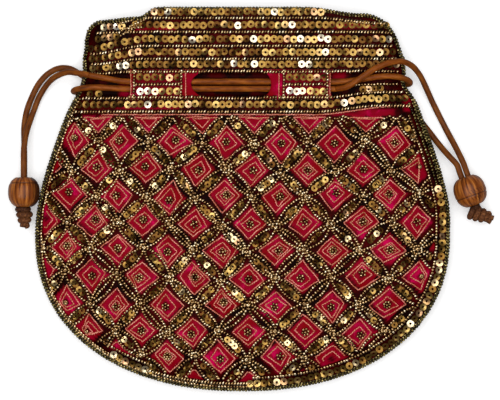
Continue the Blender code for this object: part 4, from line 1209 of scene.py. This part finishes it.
RING_BEADS = {"front": (0.0007, (0.00150, 0.00175, 0.00175)), "back": (0.0002, (0.0014, 0.0013, 0.0013))}
for face in FACES:
    threads, rings = Threads(), Sewn()
    for row in range(0, 12):
        for column in range(-10, 11):
            if (row + column) % 2:
                continue
            middle = np.array(lattice_point(face, column, row))
            around = [lattice_point(face, column + 1, row), lattice_point(face, column, row - 1)]
            around += [lattice_point(face, column - 1, row), lattice_point(face, column, row + 1)]
            spokes = np.array(around) - middle
            if row == 0:
                spokes = spokes[[0, 2, 3]]
                middle = middle - np.array([0, 0.0014])
            if fullness(*middle, float(border_margin(middle[0])) + 0.002) > 1:
                for share in (0.58, 0.34):
                    way = cut_outline(middle, spokes, share)
                    if len(way) > 7:
                        threads.add(couched(face, way[::3], 0.00010, False), 0.00033, False)
                continue
            reach = shortened(middle, spokes, 0.58)
            tips = middle + spokes * reach[:, None]
            if len(tips) == 4:
                between = (tips + np.roll(tips, -1, 0)) / 2
                out = between - middle
                room = fullness(*(middle + out * 1.0).T, border_margin(between[:, 0]) + 0.0009) < 1
                tips = tips + rng.normal(0, 0.00080, tips.shape) * room[:, None]
            threads.add(couched(face, tips, 0.00016), 0.00036, True)
            if row == 0:
                inner = middle + (tips - middle) * 0.55 - [0, 0.0008]
                threads.add(couched(face, inner, 0.00014), 0.00030, True)
                continue
            shift = rng.normal(0, 0.0005, 2)
            inner = middle + shift + (tips - middle) * (0.60 + rng.normal(0, 0.055, (len(tips), 1)))
            threads.add(couched(face, inner, 0.00018), 0.00033, True)
            if rng.random() < 0.35:
                threads.add(couched(face, middle + shift + (tips - middle) * 0.36, 0.00016), 0.00028, True)
            count = rng.choice([5, 6, 6, 7])
            angle = np.arange(count) / count * 2 * np.pi + rng.random() * 6
            ring_width = 0.0017 * min(1.0, reach.min() / 0.45)
            spot = middle + shift + np.column_stack([np.cos(angle), np.sin(angle)]) * ring_width
            spot = np.vstack([spot, middle + shift + rng.normal(0, 0.0002, 2)])
            angle = np.append(angle, rng.random() * 3)
            lift, size = RING_BEADS[face]
            centres, normals = on_face(face, spot[:, 0], spot[:, 1], lift, puffed=True)
            turned = direction(angle + np.pi / 2 + rng.normal(0, 0.4, count + 1))
            rings.add(centres, turned, normals, size, rng.random(count + 1) * 0.7)
    zari_x = np.linspace(-0.078, 0.083, 60)
    zari = np.column_stack([zari_x, 0.0471 + 0.0046 * smoothstep((zari_x - 0.040) / 0.044)])
    threads.add(couched(face, zari, 0.00010, closed=False), 0.00034, False)
    threads.make(f"{face}_thread_outlines", salmon_thread, "gold_beadwork")
    bead_piece(f"{face}_bead_rings", rings, bronze_beads)


# The tabs over the channel: strips of the same satin, sewn down above and below, with the cords
# passing under them. Each has two rows of sequins between bead stitches, and a line of beads and a
# couched thread at both its ends.
TAB_SPANS = {"left": (-0.0633, -0.0205, 0.0020, 0.0078), "right": (0.0112, 0.0500, 0.0046, 0.0020)}
TAB_WORK = {"left": (-0.0600, -0.0340, 0.0016, 0.0026), "right": (0.0226, 0.0467, 0.0025, 0.0016)}
TAB_HALF = 0.0082
TAB_HEIGHT = {"front": (0.0019, 0.0097, 1.0), "back": (0.0005, 0.0088, 0.6)}


def tab_rise(face, x, y):
    """A tab's upper side: over the beadwork at its sewn ends, and arched over the cords."""
    over_work, over_cords, _ = TAB_HEIGHT[face]
    reach = np.abs(y - CHANNEL_MIDDLE) / TAB_HALF
    foot = plain_rise(face, x, y) + over_work
    return np.maximum(foot, np.where(reach < 0.8, over_cords, foot))


def on_tab(face, x, y, lift):
    """Points a lift above a tab, and the tab's normal. Everything on the back's tabs lies lower."""
    side = FACES[face]["side"]
    level = tab_rise(face, x, y) + lift * TAB_HEIGHT[face][2] - (face == "back") * 0.0002
    return np.column_stack([x, y, SEAM_HEIGHT + side * level]), np.tile([0.0, 0.0, float(side)], (len(x), 1))


DULL_ROW, BRIGHT_ROW = [0.15, 0.22, 0.1, 0.3, 0.82], [1.0, 0.97, 0.95, 0.7, 0.5, 0.66]
for face in FACES:
    rows, sequins, threads = Sewn(), Sewn(), Threads()
    front = face == "front"
    for side_name, (left, right, left_draw, right_draw) in TAB_SPANS.items():
        down = np.linspace(-1, 1, 25)[:, None]
        share = np.linspace(0, 1, 41)[None, :]
        drawn = (1 - np.abs(down) ** 2)
        x = left + left_draw * drawn + (right - left - (left_draw + right_draw) * drawn) * share
        y = np.broadcast_to(CHANNEL_MIDDLE + TAB_HALF * down, x.shape)
        level = tab_rise(face, x, y) + 0.0002 * np.sin(x * 900) * (1 - down**2) * front
        first, last, before, after = TAB_WORK[side_name]
        # The carrier's satin takes a painted shade, 0.45 of the way to nearly black, under its beadwork.
        tab = closed_sheet(
            f"{face}_{side_name}_carrier", face, x, y, level, level - (0.0007 if front else 0.0004),
            crimson_satin, np.where((x > first) & (x < last), 0.45, 0.0),
        )
        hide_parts(f"{face}_{side_name}_tab")
        for x_line in (first, last):
            sew_beads(rows, face, [(x_line, 0.0563), (x_line + 0.0003, 0.0714)], surface=on_tab)
        for x_line in (first - before, last + after):
            line = [(x_line, 0.0562), (x_line, 0.0640), (x_line, 0.0715)]
            threads.add(couched(face, line, 0.00008, False, on_tab), 0.00030, False)
        for line in (
            [(first + 0.0015, 0.0636), (last - 0.0012, 0.0640)],
            [(left + 0.001, 0.0707), (right - 0.0002, 0.0709)],
            [(left + 0.001, 0.0567), (right - 0.001, 0.0567)],
        ):
            sew_beads(rows, face, line, surface=on_tab, **HATCH)
        tilt = 0.13 if front else 0.03
        for start_y, end_y, tints in ((0.0678, 0.0676, DULL_ROW), (0.0600, 0.0600, BRIGHT_ROW)):
            line = [(first + 0.0034, start_y), (last - 0.0022, end_y)]
            sew_sequins(sequins, face, line, surface=on_tab, tints=tints, tilt=tilt)
    if not front:
        rows.sizes = [size * 0.62 for size in rows.sizes]
    bead_piece(f"{face}_tab_beads", rows, bronze_beads)
    sequin_piece(f"{face}_tab_sequins", sequins)
    threads.make(f"{face}_tab_threads", salmon_thread, "gold_beadwork")


# The seam: short stitches of dark green gold beads, wrapped round the edge where the two faces
# meet. A cord of twisted thread lies inside them. Above it, the same stitches wrap each mouth edge.
seam_core, tree, shader = new_finish("dark_seam_thread", 0.7)
seam_twist = noise(tree, own_place(tree), 1400.0, 3.0)
set_inputs(tree, shader, {
    "Base Color": ramp(tree, seam_twist, [(0.3, (0.012, 0.005, 0.003)), (0.7, (0.060, 0.028, 0.010))]),
    "Normal": bump(tree, seam_twist, 0.5, 0.0002),
})
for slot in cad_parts["seam_beading"].material_slots:
    slot.material = seam_core


def wrap_stitches(sewn, line, level, side, turns, radius, pitch=0.00170):
    """Stitches round an edge: beads at the given turns about its line, from 0, straight out, to 90
    degrees, straight up, each turned along the arc and leaning a little along the edge."""
    place = evenly_spaced(np.column_stack([line, level]), pitch)
    way = unit(np.gradient(place, axis=0))
    out = unit(np.column_stack([way[:, 1], -way[:, 0], np.zeros(len(way))]))
    up = np.array([0.0, 0.0, float(side)])
    for number, turn in enumerate(np.radians(turns)):
        ray = np.cos(turn) * out + np.sin(turn) * up
        arc = -np.sin(turn) * out + np.cos(turn) * up
        along = (number - (len(turns) - 1) / 2) * 0.00030
        centres = place + ray * radius + way * along + rng.normal(0, 0.00006, place.shape)
        sewn.add(centres, arc + 0.35 * way, ray, (0.00150, 0.00165, 0.00165))


STITCH_RADIUS = 0.00105
edge = rim_line(-0.00150)
right_edge, left_edge = rim_stretch(edge, "right", 0.0790), rim_stretch(edge, "left", 0.0755)
seam_line = np.vstack([left_edge, right_edge])
stitches = Sewn()
seam_level = np.full(len(seam_line), SEAM_HEIGHT)
wrap_stitches(stitches, seam_line, seam_level, 1, (-112, -66, -22, 22, 66, 112), STITCH_RADIUS)
bead_piece("seam_stitches", stitches, green_gold_beads)

above = smoothstep((edge[:, 1] - 0.0770) / 0.010)[:, None]
mouth_line = rim_line(-0.0012) * (1 - above) + rim_line(0.0007) * above
first, last = (int(np.argmin(np.hypot(*(mouth_line - end).T))) for end in (right_edge[-1], left_edge[0]))
mouth_line = mouth_line[first:last + 1]
for face, shape in FACES.items():
    stitches = Sewn()
    lower = 0.0003 + 0.0008 * smoothstep((mouth_line[:, 1] - 0.0995) / 0.003)
    level = SEAM_HEIGHT + shape["side"] * (cloth_rise(face, mouth_line[:, 0], mouth_line[:, 1]) - lower)
    wrap_stitches(stitches, mouth_line, level, shape["side"], (100, 50, 5), STITCH_RADIUS)
    bead_piece(f"{face}_mouth_stitches", stitches, green_gold_beads)
